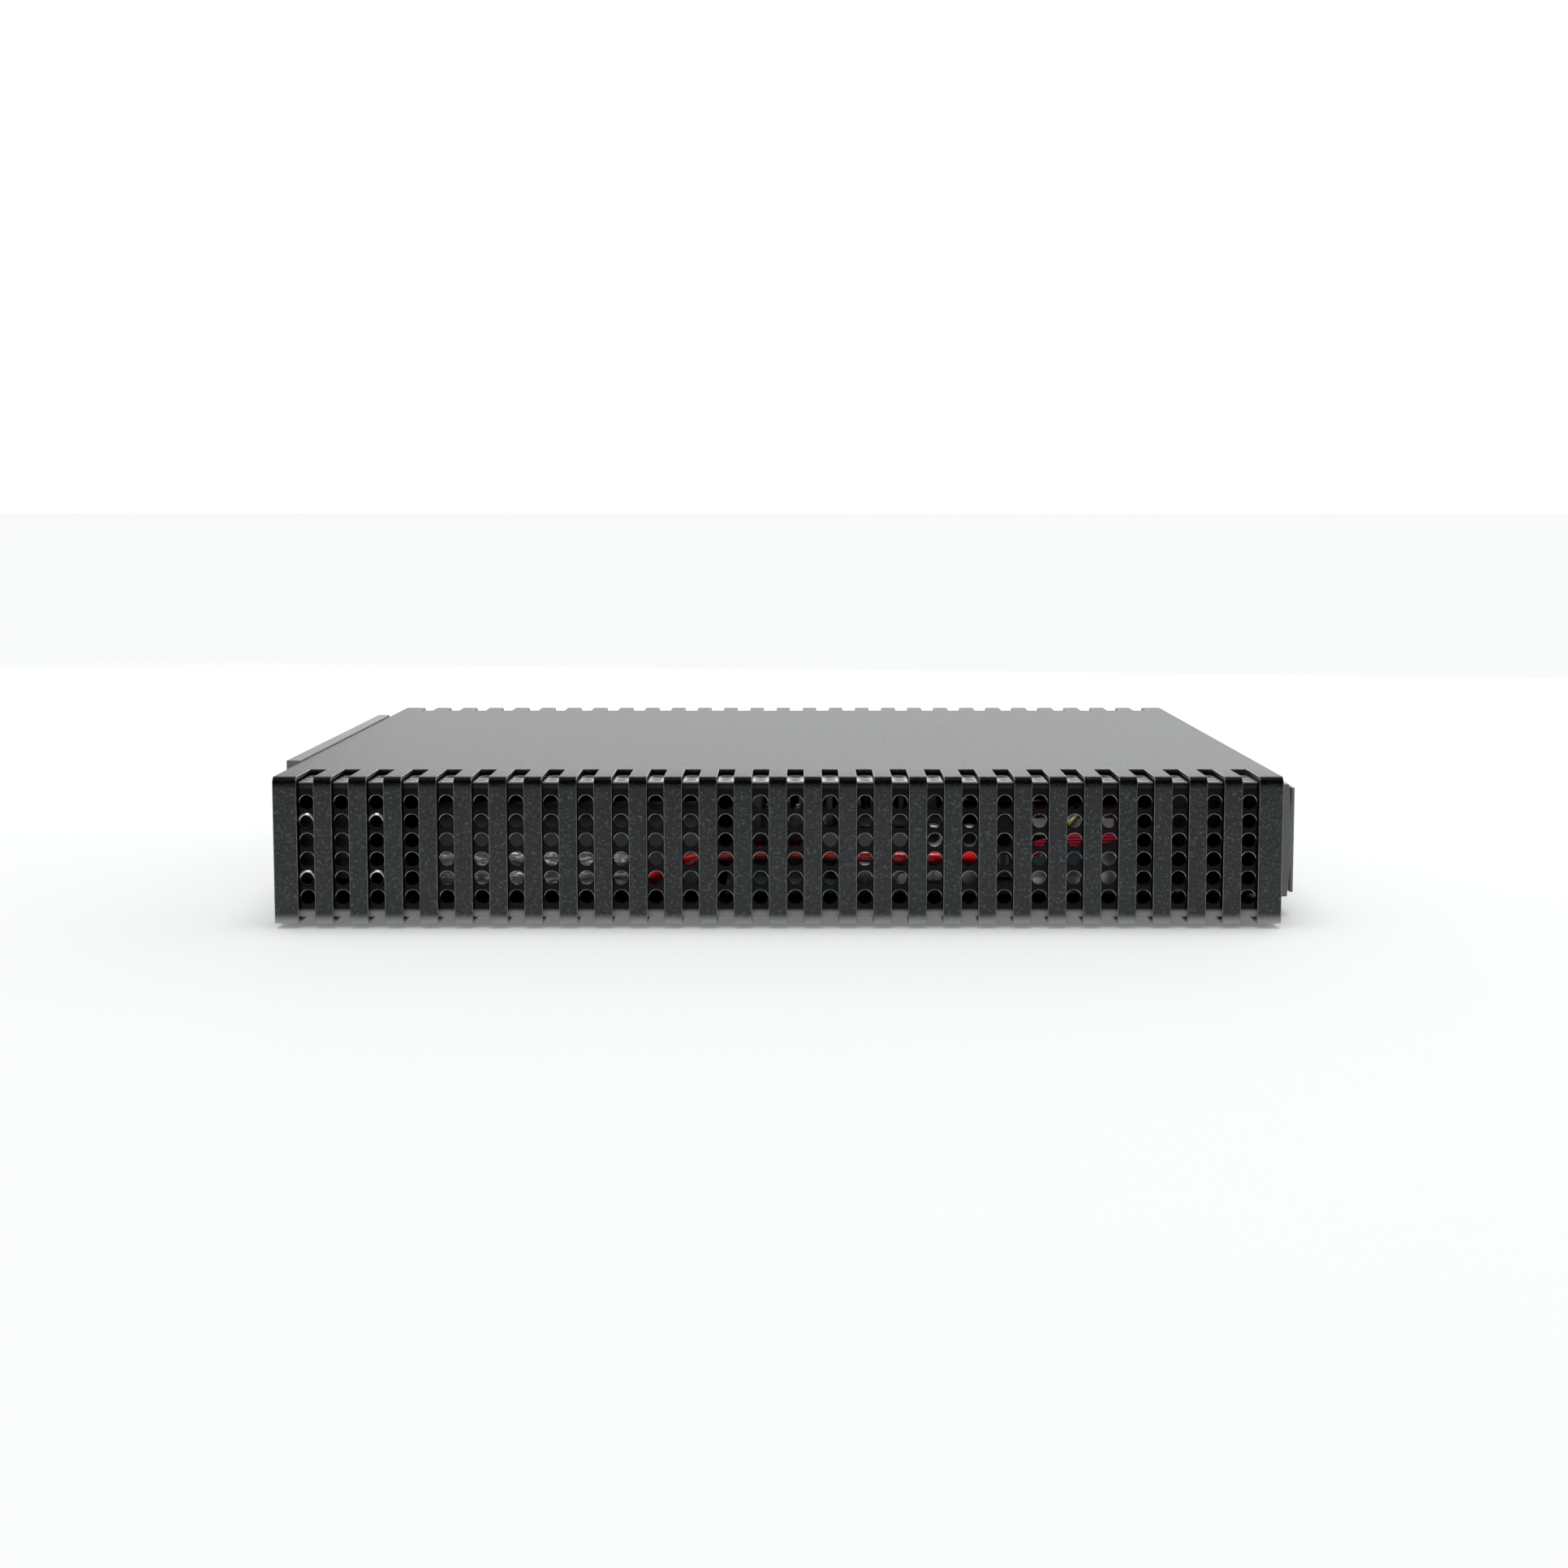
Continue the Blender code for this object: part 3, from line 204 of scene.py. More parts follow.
# In coat, the foot entries paint a pale band at the foot of the front and rear faces, a painted floor
# reflection; the line span paints a bright line at the very foot, a painted highlight; the bend entries
# paint a near-black band on the top bend, painted shade.
coat = {"dark": 0.020, "light": 0.036, "speck": 0.10, "grain": 1150, "relief": 0.0004, "strength": 0.9,
        "roughLow": 0.3, "roughHigh": 0.42, "shine": 0.42, "footReflectionGrey": 0.40,
        "footReflectionSpan": (2.0 * mm, 4.8 * mm), "footReflectionFrom": 131 * mm, "footHighlightSpan": (0.35 * mm, 0.55 * mm),
        "bendShadeSpan": (41.6 * mm, 44.2 * mm), "bendShadeGrain": 3.0 * mm, "bendShadeFrom": 132.6 * mm}


def paintedFootReflection(at, span, beyond):
    # painted reflection mask, for the pale foot band and the bright foot line: one at the foot of the
    # front and rear faces, fading to nothing up the face
    low = 1 - at.part("Z").eased(*span)
    return low * at.part("Y").size().above(beyond)


def powderCoat():
    material, shader, at = startMaterial("powderCoat", Specular_IOR_Level=coat["shine"],
                                         Specular_Tint=(0.95, 1.0, 1.03, 1))
    grain = at.noise(coat["grain"], 2.0, 0.6)
    fine = at.noise(coat["grain"] * 2.6, 1.0)
    drift = at.noise(14, 2.0)
    tone = (grain * 0.7 + drift * 0.3).eased(0.35, 0.68)
    tint = (0.94, 1.0, 1.03)
    body = tone.mixed(grey(coat["dark"], tint), grey(coat["light"], tint))
    body = grain.eased(0.56, 0.7).mixed(body, grey(coat["speck"], tint))
    # painted floor reflection: a pale band at the foot of the front and rear faces
    foot = paintedFootReflection(at, coat["footReflectionSpan"], coat["footReflectionFrom"])
    # painted highlight: a bright line at the very foot of the front and rear faces
    footHighlight = paintedFootReflection(at, coat["footHighlightSpan"], coat["footReflectionFrom"])
    # painted shade: a near-black, metallic band on the top bend of the front and rear faces, its edge
    # broken by the grain
    rise = at.part("Z") + (grain - 0.5) * coat["bendShadeGrain"]
    bend = rise.eased(*coat["bendShadeSpan"]) * at.part("Y").size().above(coat["bendShadeFrom"])
    feed(shader,
         Base_Color=footHighlight.mixed(bend.mixed(foot.mixed(body, grey(coat["footReflectionGrey"])), grey(0.004)),
                               grey(0.85)),
         Metallic=bend,
         Roughness=coat["roughLow"] + (coat["roughHigh"] - coat["roughLow"]) * fine,
         Normal=(grain * 0.75 + fine * 0.25).bump(coat["strength"], coat["relief"]))
    return material


# the foot entries paint a pale band at the panel's foot, a painted floor reflection
chassis = {"base": 0.002, "lifted": 0.005, "rough": 0.2, "footReflectionGrey": 0.42,
           "footReflectionSpan": (4.4 * mm, 5.9 * mm), "footReflectionFrom": 128 * mm, "glazedFrom": 41.4 * mm}


def chassisPaint(name, shine):
    material, shader, at = startMaterial(name, Specular_IOR_Level=shine, Coat_Roughness=0.24)
    peel = at.noise(420, 2.0)
    dust = at.noise(60, 4.0, 0.65).eased(0.45, 0.75)
    body = dust.mixed(grey(chassis["base"]), grey(chassis["lifted"]))
    # painted floor reflection: a pale band at the foot of the panel
    foot = paintedFootReflection(at, chassis["footReflectionSpan"], chassis["footReflectionFrom"])
    feed(shader,
         Base_Color=foot.mixed(body, grey(chassis["footReflectionGrey"])),
         Coat_Weight=at.part("Z").eased(chassis["glazedFrom"], chassis["glazedFrom"] + 1.2 * mm),
         Roughness=chassis["rough"] + 0.12 * dust,
         Normal=peel.bump(0.03, 0.0001))
    return material


def wornEdgeAndPaintedRims(name, level, pitch=None):
    # bare metal at cut edges; with a pitch, the lower half of each repeated hole's rim is painted shade,
    # so the bare metal shows on the upper side only
    material, shader, at = startMaterial(name, Metallic=1.0)
    rub = at.noise(300, 3.0, 0.6).eased(0.3, 0.6)
    wearAndPaintedShade = rub.mixed(grey(level * 0.6), grey(level))
    if pitch:
        # painted shade on the lower half of each hole's rim
        wearAndPaintedShade = paintedShadeMask(at, pitch).mixed(grey(0.012), wearAndPaintedShade)
    feed(shader, Base_Color=wearAndPaintedShade, Roughness=0.38 - 0.1 * rub)
    return material


def paintedShadeMask(at, pitch):
    # painted shade mask: nothing in the lower half of each repeated hole, where the painted shade goes,
    # one in the upper half
    height = at.maths("FLOORED_MODULO", at.part("Z") - sleeveMid.z, pitch) - pitch / 2
    return height.eased(-0.2 * mm, 1.2 * mm)


def nutPlatingAndPaintedShade(pitch):
    material, shader, at = startMaterial("nutPlatingAndPaintedShade", Metallic=1.0)
    speck = at.noise(900, 2.0)
    # painted shade on the lower half of each nut ring, leaving the plating bright in a crescent on the
    # upper half
    lit = paintedShadeMask(at, pitch)
    feed(shader,
         Base_Color=lit.mixed(grey(0.02), grey(0.8, (0.97, 1, 1))),
         Roughness=0.24 + 0.14 * speck)
    return material


def mouldedPlastic(name, level, roughness, grain=2400, tint=(1, 1, 1), relief=0.00004):
    material, shader, at = startMaterial(name)
    stipple = at.noise(grain, 2.0, 0.6)
    drift = at.noise(22, 2.0)
    tone = (stipple * 0.35 + drift * 0.65).eased(0.3, 0.7)
    feed(shader,
         Base_Color=tone.mixed(grey(level * 0.86, tint), grey(level * 1.14, tint)),
         Roughness=roughness + 0.1 * stipple,
         Normal=stipple.bump(0.35, relief))
    return material


def plainMetal(name, level, roughness, tint=(1, 1, 1), brush=(1, 1, 14)):
    material, shader, at = startMaterial(name, Metallic=1.0)
    lines = at.placed(scale=brush).noise(260, 3.0, 0.6)
    patches = at.noise(45, 3.0).eased(0.35, 0.7)
    feed(shader,
         Base_Color=patches.mixed(grey(level * 0.85, tint), grey(level, tint)),
         Roughness=roughness * 0.75 + roughness * 0.5 * lines,
         Normal=lines.bump(0.15, 0.00003))
    return material


def sheathing(name, colour, roughness=0.22):
    material, shader, at = startMaterial(name, Specular_IOR_Level=0.6)
    drift = at.noise(120, 3.0)
    scuff = at.noise(700, 3.0, 0.7).eased(0.5, 0.8)
    deep = tuple(c * 0.72 for c in colour)
    feed(shader,
         Base_Color=drift.eased(0.3, 0.7).mixed((*deep, 1), (*colour, 1)),
         Roughness=roughness + 0.15 * scuff,
         Normal=drift.bump(0.1, 0.0002))
    return material


def crumpledFilm():
    material, shader, at = startMaterial("crumpledFilm", Coat_Roughness=0.08, Coat_IOR=1.5)
    slanted = at.placed(scale=(1, 1, 3.0), turn=(0, math.radians(24), 0))
    folds = slanted.cells(120, "SMOOTH_F1")
    creases = slanted.noise(150, 3.0, 0.55)
    # painted highlights: pale, more metallic streaks along the creases stand in for glints
    shine = creases.eased(0.53, 0.62)
    feed(shader,
         Base_Color=shine.mixed(grey(0.05), grey(0.62)),
         Metallic=0.3 + 0.6 * shine,
         Coat_Weight=0.3 + 0.7 * shine,
         Roughness=0.42 - 0.24 * shine,
         Normal=(folds * 0.7 + creases * 0.5).bump(0.9, 0.0016))
    return material


def boardLaminate():
    material, shader, at = startMaterial("boardLaminate")
    tracks = at.node("ShaderNodeTexBrick", {"offset": 0.4, "squash": 0.6, "squash_frequency": 3},
                       {"Vector": at, "Scale": 130, "Mortar Size": 0.06, "Color1": grey(0.0),
                        "Color2": grey(0.15), "Mortar": grey(1.0)}, "Fac")
    pads = 1 - at.cells(240).eased(0.12, 0.16)
    region = at.noise(30, 1.0).above(0.52)
    copper = pads * region
    mask = tracks.mixed((0.010, 0.016, 0.022, 1), (0.016, 0.028, 0.036, 1))
    feed(shader,
         Base_Color=copper.mixed(mask, (0.42, 0.40, 0.36, 1)),
         Metallic=copper * 0.9,
         Roughness=0.42 - 0.1 * tracks,
         Normal=(tracks * 0.5 + copper).bump(0.3, 0.00008))
    return material


def ribbonSheath():
    material, shader, at = startMaterial("ribbonSheath", Specular_IOR_Level=0.3)
    height = at.part("Z")
    strands = at.maths("SINE", (height - sleeveLow.z) * (2 * math.pi / (0.9 * mm)))
    # painted shade and painted highlight: darker in the grooves between the strands, lighter on the
    # ridges
    tone = strands.eased(-0.6, 0.9)
    feed(shader,
         Base_Color=tone.mixed((0.12, 0.001, 0.008, 1), (0.24, 0.002, 0.016, 1)),
         Roughness=0.34 + 0.12 * at.noise(500),
         Normal=strands.bump(0.35, 0.0002))
    return material


def clearAcrylic():
    material, shader, at = startMaterial("clearAcrylic", Transmission_Weight=0.75, IOR=1.49)
    haze = at.noise(900, 2.0)
    feed(shader,
         Base_Color=haze.mixed(grey(0.72), grey(0.86, (0.95, 1, 1))),
         Roughness=0.18 + 0.14 * haze,
         Normal=haze.bump(0.1, 0.00005))
    return material


def lampWindow(name, colour, glow):
    material, shader, at = startMaterial(name, Emission_Strength=glow)
    spot = at.noise(1200, 1.0).eased(0.2, 0.8)
    rich = tuple(c * 0.6 for c in colour)
    feed(shader,
         Base_Color=spot.mixed((*rich, 1), (*colour, 1)),
         Emission_Color=spot.mixed((*rich, 1), (*colour, 1)),
         Roughness=0.2 + 0.1 * spot)
    return material


finish = {
    "coat": powderCoat(),
    "chassis": chassisPaint("chassisPaint", 0.12),
    "chassisEdge": wornEdgeAndPaintedRims("chassisEdge", 0.46, holePitch),
    "coatEdge": wornEdgeAndPaintedRims("coatEdge", 0.26),
    "plateEdge": wornEdgeAndPaintedRims("plateEdge", 0.55),
    "plate": mouldedPlastic("greyMoulding", 0.225, 0.38, 2200, (0.97, 1.0, 0.99)),
    "black": mouldedPlastic("blackMoulding", 0.012, 0.36),
    "socket": mouldedPlastic("socketBlack", 0.02, 0.45, 1800),
    "rubber": mouldedPlastic("footRubber", 0.014, 0.72, 1300, relief=0.0001),
    "steel": plainMetal("brightSteel", 0.72, 0.16, (1, 0.99, 0.96)),
    "nut": nutPlatingAndPaintedShade(3 * holePitch),
    "tin": plainMetal("tinnedShell", 0.55, 0.3),
    "supply": plainMetal("supplyCase", 0.055, 0.5, (0.96, 1.0, 1.04), (14, 1, 1)),
    "fins": plainMetal("anodisedFins", 0.48, 0.36, (0.98, 0.99, 1.0), (1, 14, 1)),
    "gold": plainMetal("goldContact", 0.8, 0.2, (1.0, 0.72, 0.3)),
    "film": crumpledFilm(),
    "board": boardLaminate(),
    "nylon": mouldedPlastic("whiteNylon", 0.12, 0.34, 600, (1.0, 0.985, 0.95)),
    "greyPart": mouldedPlastic("greyComponent", 0.022, 0.4, 1500, (0.95, 1.0, 1.04)),
    "paleBlock": mouldedPlastic("paleBlock", 0.07, 0.35, 900),
    "winding": mouldedPlastic("coilWinding", 0.05, 0.3, 900, (1.0, 0.97, 0.93)),
    "canSleeve": mouldedPlastic("canSleeve", 0.08, 0.25, 1500, (0.92, 0.98, 1.08)),
    "slatePart": mouldedPlastic("slateComponent", 0.014, 0.3, 500, (0.8, 0.95, 1.35)),
    "red": sheathing("redSheath", (0.62, 0.008, 0.012)),
    "darkRed": sheathing("darkRedSheath", (0.30, 0.006, 0.012), 0.3),
    "yellow": sheathing("yellowSheath", (0.11, 0.085, 0.012), 0.3),
    "green": sheathing("greenSheath", (0.01, 0.06, 0.035), 0.3),
    "ribbon": ribbonSheath(),
    "acrylic": clearAcrylic(),
    "greenLamp": lampWindow("greenLamp", (0.1, 0.75, 0.25), 0.4),
    "amberLamp": lampWindow("amberLamp", (0.9, 0.45, 0.05), 0.25),
}
print("finishes:", len(finish))


# shared making


def addPiece(name, bm, finishName, slot, body="root", replaces=(), sharp=32):
    mesh = bpy.data.meshes.new(name)
    bm.to_mesh(mesh)
    bm.free()
    mesh.materials.append(finish[finishName])
    mesh.shade_smooth()
    mesh.set_sharp_from_angle(angle=math.radians(sharp))
    piece = bpy.data.objects.new(name, mesh)
    bpy.context.scene.collection.objects.link(piece)
    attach(piece, body)
    if replaces:
        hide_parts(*replaces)
    return piece


def thicken(piece, thickness, offset=-1.0):
    solid = piece.modifiers.new("sheet", "SOLIDIFY")
    solid.thickness = thickness
    solid.offset = offset
    solid.use_even_offset = True


def softenEdges(piece, width, segments=2, finishName=None):
    edge = piece.modifiers.new("edges", "BEVEL")
    edge.width = width
    edge.segments = segments
    edge.limit_method = "ANGLE"
    edge.angle_limit = math.radians(40)
    edge.harden_normals = True
    if finishName:
        piece.data.materials.append(finish[finishName])
        edge.material = 1


def boxAt(bm, low, high):
    low = Vector(low)
    high = Vector(high)
    size = Matrix.Diagonal((*(high - low), 1))
    return bmesh.ops.create_cube(bm, size=1, matrix=Matrix.Translation((low + high) / 2) @ size)["verts"]


def rodAt(bm, centre, radius, length, axis="Z", sides=24, tip=None):
    turn = {"X": Matrix.Rotation(math.pi / 2, 4, "Y"), "Y": Matrix.Rotation(-math.pi / 2, 4, "X"),
            "Z": Matrix.Identity(4)}[axis]
    return bmesh.ops.create_cone(bm, cap_ends=True, segments=sides, radius1=radius,
                                 radius2=radius if tip is None else tip, depth=length,
                                 matrix=Matrix.Translation(centre) @ turn)["verts"]


def roundEdges(bm, edges, width, segments=2):
    bmesh.ops.bevel(bm, geom=edges, offset=width, segments=segments, profile=0.5, material=-1,
                    affect="EDGES")


def crispBox(name, low, high, finishName, slot, width=0.3 * mm, segments=2, **extra):
    bm = bmesh.new()
    boxAt(bm, low, high)
    roundEdges(bm, bm.edges[:], width, segments)
    return addPiece(name, bm, finishName, slot, **extra)


def cutAcross(bm, point, normal):
    bmesh.ops.bisect_plane(bm, geom=bm.verts[:] + bm.edges[:] + bm.faces[:], dist=1e-7,
                           plane_co=point, plane_no=normal)


def dropFaces(bm, test):
    gone = [f for f in bm.faces if test(f.calc_center_median())]
    bmesh.ops.delete(bm, geom=gone, context="FACES")


def spunRing(bm, profile, centre, axis, steps=40):
    # profile is (radius, along axis), walked round a closed section
    along = Vector(axis)
    outward = Vector((0, 0, 1)) if abs(along.z) < 0.5 else Vector((1, 0, 0))
    verts = [bm.verts.new(Vector(centre) + outward * r + along * a) for r, a in profile]
    edges = [bm.edges.new((verts[i], verts[(i + 1) % len(verts)])) for i in range(len(verts))]
    bmesh.ops.spin(bm, geom=verts + edges, cent=centre, axis=axis, angle=2 * math.pi, steps=steps,
                   use_merge=True)
    bmesh.ops.remove_doubles(bm, verts=bm.verts[:], dist=1e-6)
    bmesh.ops.recalc_face_normals(bm, faces=bm.faces[:])


# sleeve

sleeve = {"sheet": 1.0 * mm, "bend": 2.2 * mm, "footBend": 1.1 * mm, "slots": 28,
          "pitch": 10.4 * mm, "slot": 5.0 * mm,
          "frontReach": 24 * mm, "rearReach": 17 * mm, "bendSteps": 8, "edge": 0.16 * mm}


def columnX(index):
    return sleeveMid.x + (index - (sleeve["slots"] - 1) / 2) * sleeve["pitch"]


def buildSleeve():
    bm = bmesh.new()
    boxAt(bm, sleeveLow, sleeveHigh)
    bm.normal_update()
    ends = [f for f in bm.faces if abs(f.normal.x) > 0.9]
    bmesh.ops.delete(bm, geom=ends, context="FACES")
    for level, bend in ((sleeveHigh.z, sleeve["bend"]), (sleeveLow.z, sleeve["footBend"])):
        lengthwise = [e for e in bm.edges if not e.is_boundary
                      and all(abs(v.co.z - level) < sameSpot for v in e.verts)]
        roundEdges(bm, lengthwise, bend, sleeve["bendSteps"])
    half = sleeve["slot"] / 2
    for index in range(sleeve["slots"]):
        for side in (-half, half):
            cutAcross(bm, (columnX(index) + side, 0, 0), (1, 0, 0))
    frontEnd = sleeveLow.y + sleeve["frontReach"]
    rearEnd = sleeveHigh.y - sleeve["rearReach"]
    for reach in (frontEnd, rearEnd):
        cutAcross(bm, (0, reach, 0), (0, 1, 0))

    def inSlot(centre):
        column = round((centre.x - columnX(0)) / sleeve["pitch"])
        beside = abs(centre.x - columnX(column))
        return (0 <= column < sleeve["slots"] and beside < half
                and not frontEnd < centre.y < rearEnd)

    dropFaces(bm, inSlot)
    piece = addPiece("sleeve", bm, "coat", "powder_coat", replaces=["outer_sleeve"])
    thicken(piece, sleeve["sheet"])
    softenEdges(piece, sleeve["edge"], finishName="coatEdge")


# perforated panels: blocks of holed cells joined by spun bends

vents = {"holeRadius": 2.1 * mm, "pitch": holePitch, "rows": 6, "flangeRows": 4, "sides": 24,
         "topBend": 1.1 * mm, "footBend": 1.2 * mm, "bendSteps": 8, "edge": 0.2 * mm,
         "nutHole": 2.4 * mm, "nutColumns": (0, 2), "nutRows": (1, 4), "flangeLead": 0.8 * mm,
         "flangeHole": 1.7 * mm}


def onRectangle(point, halfAcross, halfAlong):
    # the spot on a rectangle's outline that a spot on a circle draws out to
    angle = math.atan2(point.y, point.x)
    quarter = round(angle / (math.pi / 2))
    offset = (angle - quarter * math.pi / 2) / (math.pi / 4)
    side = (Vector((1, offset)), Vector((-offset, 1)), Vector((-1, -offset)), Vector((offset, -1)))
    spot = side[quarter % 4]
    return Vector((spot.x * halfAcross, spot.y * halfAlong, 0))


def holedCell(bm, place, halfAcross, halfAlong, radius, sides):
    # a rectangle with a round hole; with no radius it is whole but has the same outline
    ring = bmesh.ops.create_circle(bm, cap_ends=not radius, segments=sides,
                                   radius=radius or halfAlong)["verts"]
    made = outer = ring
    if radius:
        edges = list({e for v in ring for e in v.link_edges})
        outer = [v for v in bmesh.ops.extrude_edge_only(bm, edges=edges)["geom"]
                 if isinstance(v, bmesh.types.BMVert)]
        made = ring + outer
    for vert in outer:
        vert.co = onRectangle(vert.co, halfAcross, halfAlong)
    bmesh.ops.transform(bm, matrix=place, verts=made)


def borderEdges(bm, axis, level):
    return [e for e in bm.edges if e.is_boundary
            and all(abs(v.co[axis] - level) < sameSpot * 0.4 for v in e.verts)]


def drawOut(bm, edges, vec):
    verts = [v for v in bmesh.ops.extrude_edge_only(bm, edges=edges)["geom"]
             if isinstance(v, bmesh.types.BMVert)]
    bmesh.ops.translate(bm, verts=verts, vec=vec)
    return [e for e in bm.edges if e.is_boundary and all(v in verts for v in e.verts)]


def foldFlange(bm, outerY, inward, level, upward, bend, reach, holes, kind):
    # from the block's end row: up to the bend, round it, and back along the flange
    blockEnd = max((v.co.z * upward for v in bm.verts)) * upward
    edges = [e for e in bm.edges if e.is_boundary
             and all(abs(v.co.z - blockEnd) < sameSpot * 0.4 for v in e.verts)]
    edges = drawOut(bm, edges, (0, 0, level - upward * bend - blockEnd))
    geom = list({v for e in edges for v in e.verts}) + edges
    spun = bmesh.ops.spin(bm, geom=geom, cent=(0, outerY + inward * bend, level - upward * bend),
                          axis=(1, 0, 0), angle=-math.pi / 2 * upward * inward,
                          steps=vents["bendSteps"])
    edges = [g for g in spun["geom_last"] if isinstance(g, bmesh.types.BMEdge)]
    edges = drawOut(bm, edges, (0, inward * vents["flangeLead"], 0))
    flangeStart = outerY + inward * (bend + vents["flangeLead"])
    for column in range(sleeve["slots"]):
        for row in range(vents["flangeRows"]):
            place = Matrix.Translation((columnX(column),
                                        flangeStart + inward * (row + 0.5) * vents["pitch"], level))
            holedCell(bm, place, sleeve["pitch"] / 2, vents["pitch"] / 2, holes(kind, column, row),
                      vents["sides"])
    bmesh.ops.remove_doubles(bm, verts=bm.verts[:], dist=sameSpot)
    flangeEnd = flangeStart + inward * vents["flangeRows"] * vents["pitch"]
    edges = [e for e in borderEdges(bm, 1, flangeEnd) if abs(e.verts[0].co.z - level) < sameSpot]
    drawOut(bm, edges, (0, outerY + inward * reach - flangeEnd, 0))


def buildVentPanel(name, node, holes, outerY, inward):
    low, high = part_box(node)
    bm = bmesh.new()
    upright = Matrix.Rotation(math.pi / 2, 4, "X")
    for column in range(sleeve["slots"]):
        for row in range(vents["rows"]):
            along = sleeveMid.z + ((vents["rows"] - 1) / 2 - row) * vents["pitch"]
            holedCell(bm, Matrix.Translation((columnX(column), outerY, along)) @ upright,
                      sleeve["pitch"] / 2, vents["pitch"] / 2, holes("face", column, row),
                      vents["sides"])
    bmesh.ops.remove_doubles(bm, verts=bm.verts[:], dist=sameSpot)
    reach = high.y - low.y
    foldFlange(bm, outerY, inward, high.z, 1, vents["topBend"], reach, holes, "top")
    foldFlange(bm, outerY, inward, low.z, -1, vents["footBend"], reach, holes, "foot")
    for level in (min(v.co.x for v in bm.verts), max(v.co.x for v in bm.verts)):
        wall = low.x if level < sleeveMid.x else high.x
        drawOut(bm, borderEdges(bm, 0, level), (wall - level, 0, 0))
    bmesh.ops.remove_doubles(bm, verts=bm.verts[:], dist=sameSpot)
    bmesh.ops.recalc_face_normals(bm, faces=bm.faces[:])
    bm.normal_update()
    topmost = max(bm.faces, key=lambda f: f.calc_center_median().z)
    if topmost.normal.z < 0:
        bmesh.ops.reverse_faces(bm, faces=bm.faces[:])
    piece = addPiece(name, bm, "chassis", "chassis_paint", replaces=[node])
    thicken(piece, sleeve["sheet"])
    softenEdges(piece, vents["edge"], finishName="chassisEdge")


def frontHoles(kind, column, row):
    if kind == "foot":
        return 0
    if kind == "top":
        return vents["flangeHole"]
    if kind == "face" and column in vents["nutColumns"] and row in vents["nutRows"]:
        return vents["nutHole"]
    return vents["holeRadius"]


def rearHoles(kind, column, row):
    if kind != "face":
        return 0
    behindFan = any(abs(columnX(column) - sum(c.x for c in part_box(f"fan_frame_{i}")) / 2)
                    < 2 * sleeve["pitch"] for i in (1, 2, 3))
    return vents["holeRadius"] if behindFan else 0


# end pieces

ends = {"edge": 0.45 * mm, "crown": 1.0 * mm, "crownSteps": 10, "cornerSteps": 3, "skinInset": 0.09 * mm,
        "skinGap": 0.1 * mm, "skinEdge": 0.38 * mm, "squareRoom": 1.4, "circleSides": 32}


def slabWithOpenings(low, high, outward, openings, rounds=()):
    # a plate across X: its outer face is cut into a grid and the openings drop out
    face = high.x if outward > 0 else low.x
    back = low.x if outward > 0 else high.x
    bm = bmesh.new()
    turn = Matrix.Rotation(math.pi / 2, 4, "Y")
    centre = Vector((face, (low.y + high.y) / 2, (low.z + high.z) / 2))
    size = Matrix.Diagonal((high.z - low.z, high.y - low.y, 1, 1))
    bmesh.ops.create_grid(bm, x_segments=1, y_segments=1, size=0.5,
                          matrix=Matrix.Translation(centre) @ turn @ size)
    room = ends["squareRoom"]
    squares = [(y - room * r, y + room * r, z - room * r, z + room * r) for y, z, r in rounds]
    gaps = list(openings) + squares
    for y0, y1, z0, z1 in gaps:
        for y in (y0, y1):
            cutAcross(bm, (0, y, 0), (0, 1, 0))
        for z in (z0, z1):
            cutAcross(bm, (0, 0, z), (0, 0, 1))
    dropFaces(bm, lambda c: any(y0 < c.y < y1 and z0 < c.z < z1 for y0, y1, z0, z1 in gaps))
    for (y, z, radius), (y0, y1, z0, z1) in zip(rounds, squares):
        inside = [v for v in bm.verts
                  if y0 - 1e-6 < v.co.y < y1 + 1e-6 and z0 - 1e-6 < v.co.z < z1 + 1e-6]
        loop = [e for e in bm.edges if e.is_boundary and all(v in inside for v in e.verts)]
        perSide = ends["circleSides"] // 4
        bmesh.ops.subdivide_edges(bm, edges=loop, cuts=perSide // (len(loop) // 4) - 1)
        holedCell(bm, Matrix.Translation((face, y, z)) @ turn, room * radius, room * radius, radius,
                  ends["circleSides"])
    bmesh.ops.remove_doubles(bm, verts=bm.verts[:], dist=sameSpot)
    bmesh.ops.recalc_face_normals(bm, faces=bm.faces[:])
    return bm, face, back


def drawBack(bm, distance):
    made = bmesh.ops.extrude_face_region(bm, geom=bm.faces[:], use_keep_orig=True)["geom"]
    moved = [v for v in made if isinstance(v, bmesh.types.BMVert)]
    bmesh.ops.translate(bm, verts=moved, vec=(distance, 0, 0))
    bmesh.ops.recalc_face_normals(bm, faces=bm.faces[:])


def openingRound(node, margin=0.35 * mm):
    low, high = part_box(node)
    return (low.y - margin, high.y + margin, low.z - margin, high.z + margin)


def buildFaceplate():
    low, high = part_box("io_faceplate")
    connectors = ([f"rj45_stack_{i}" for i in (1, 2, 3, 4)] + ["sfp_cage_1", "sfp_cage_2"])
    openings = [openingRound(n) for n in connectors] + [openingRound("switch_housing")]
    bm, face, back = slabWithOpenings(low, high, -1, openings)
    drawBack(bm, back - face)
    piece = addPiece("faceplate", bm, "plate", "grey_moulding", replaces=["io_faceplate"])
    softenEdges(piece, ends["edge"], ends["cornerSteps"])


def operatorOpenings():
    openings = [openingRound(n) for n in ("usb_socket", "console_jack", "light_pipe")]
    rounds = []
    for node in ("power_button", "reset_button"):
        low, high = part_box(node)
        rounds.append(((low.y + high.y) / 2, (low.z + high.z) / 2, (high.z - low.z) / 2 + 0.35 * mm))
    return openings, rounds


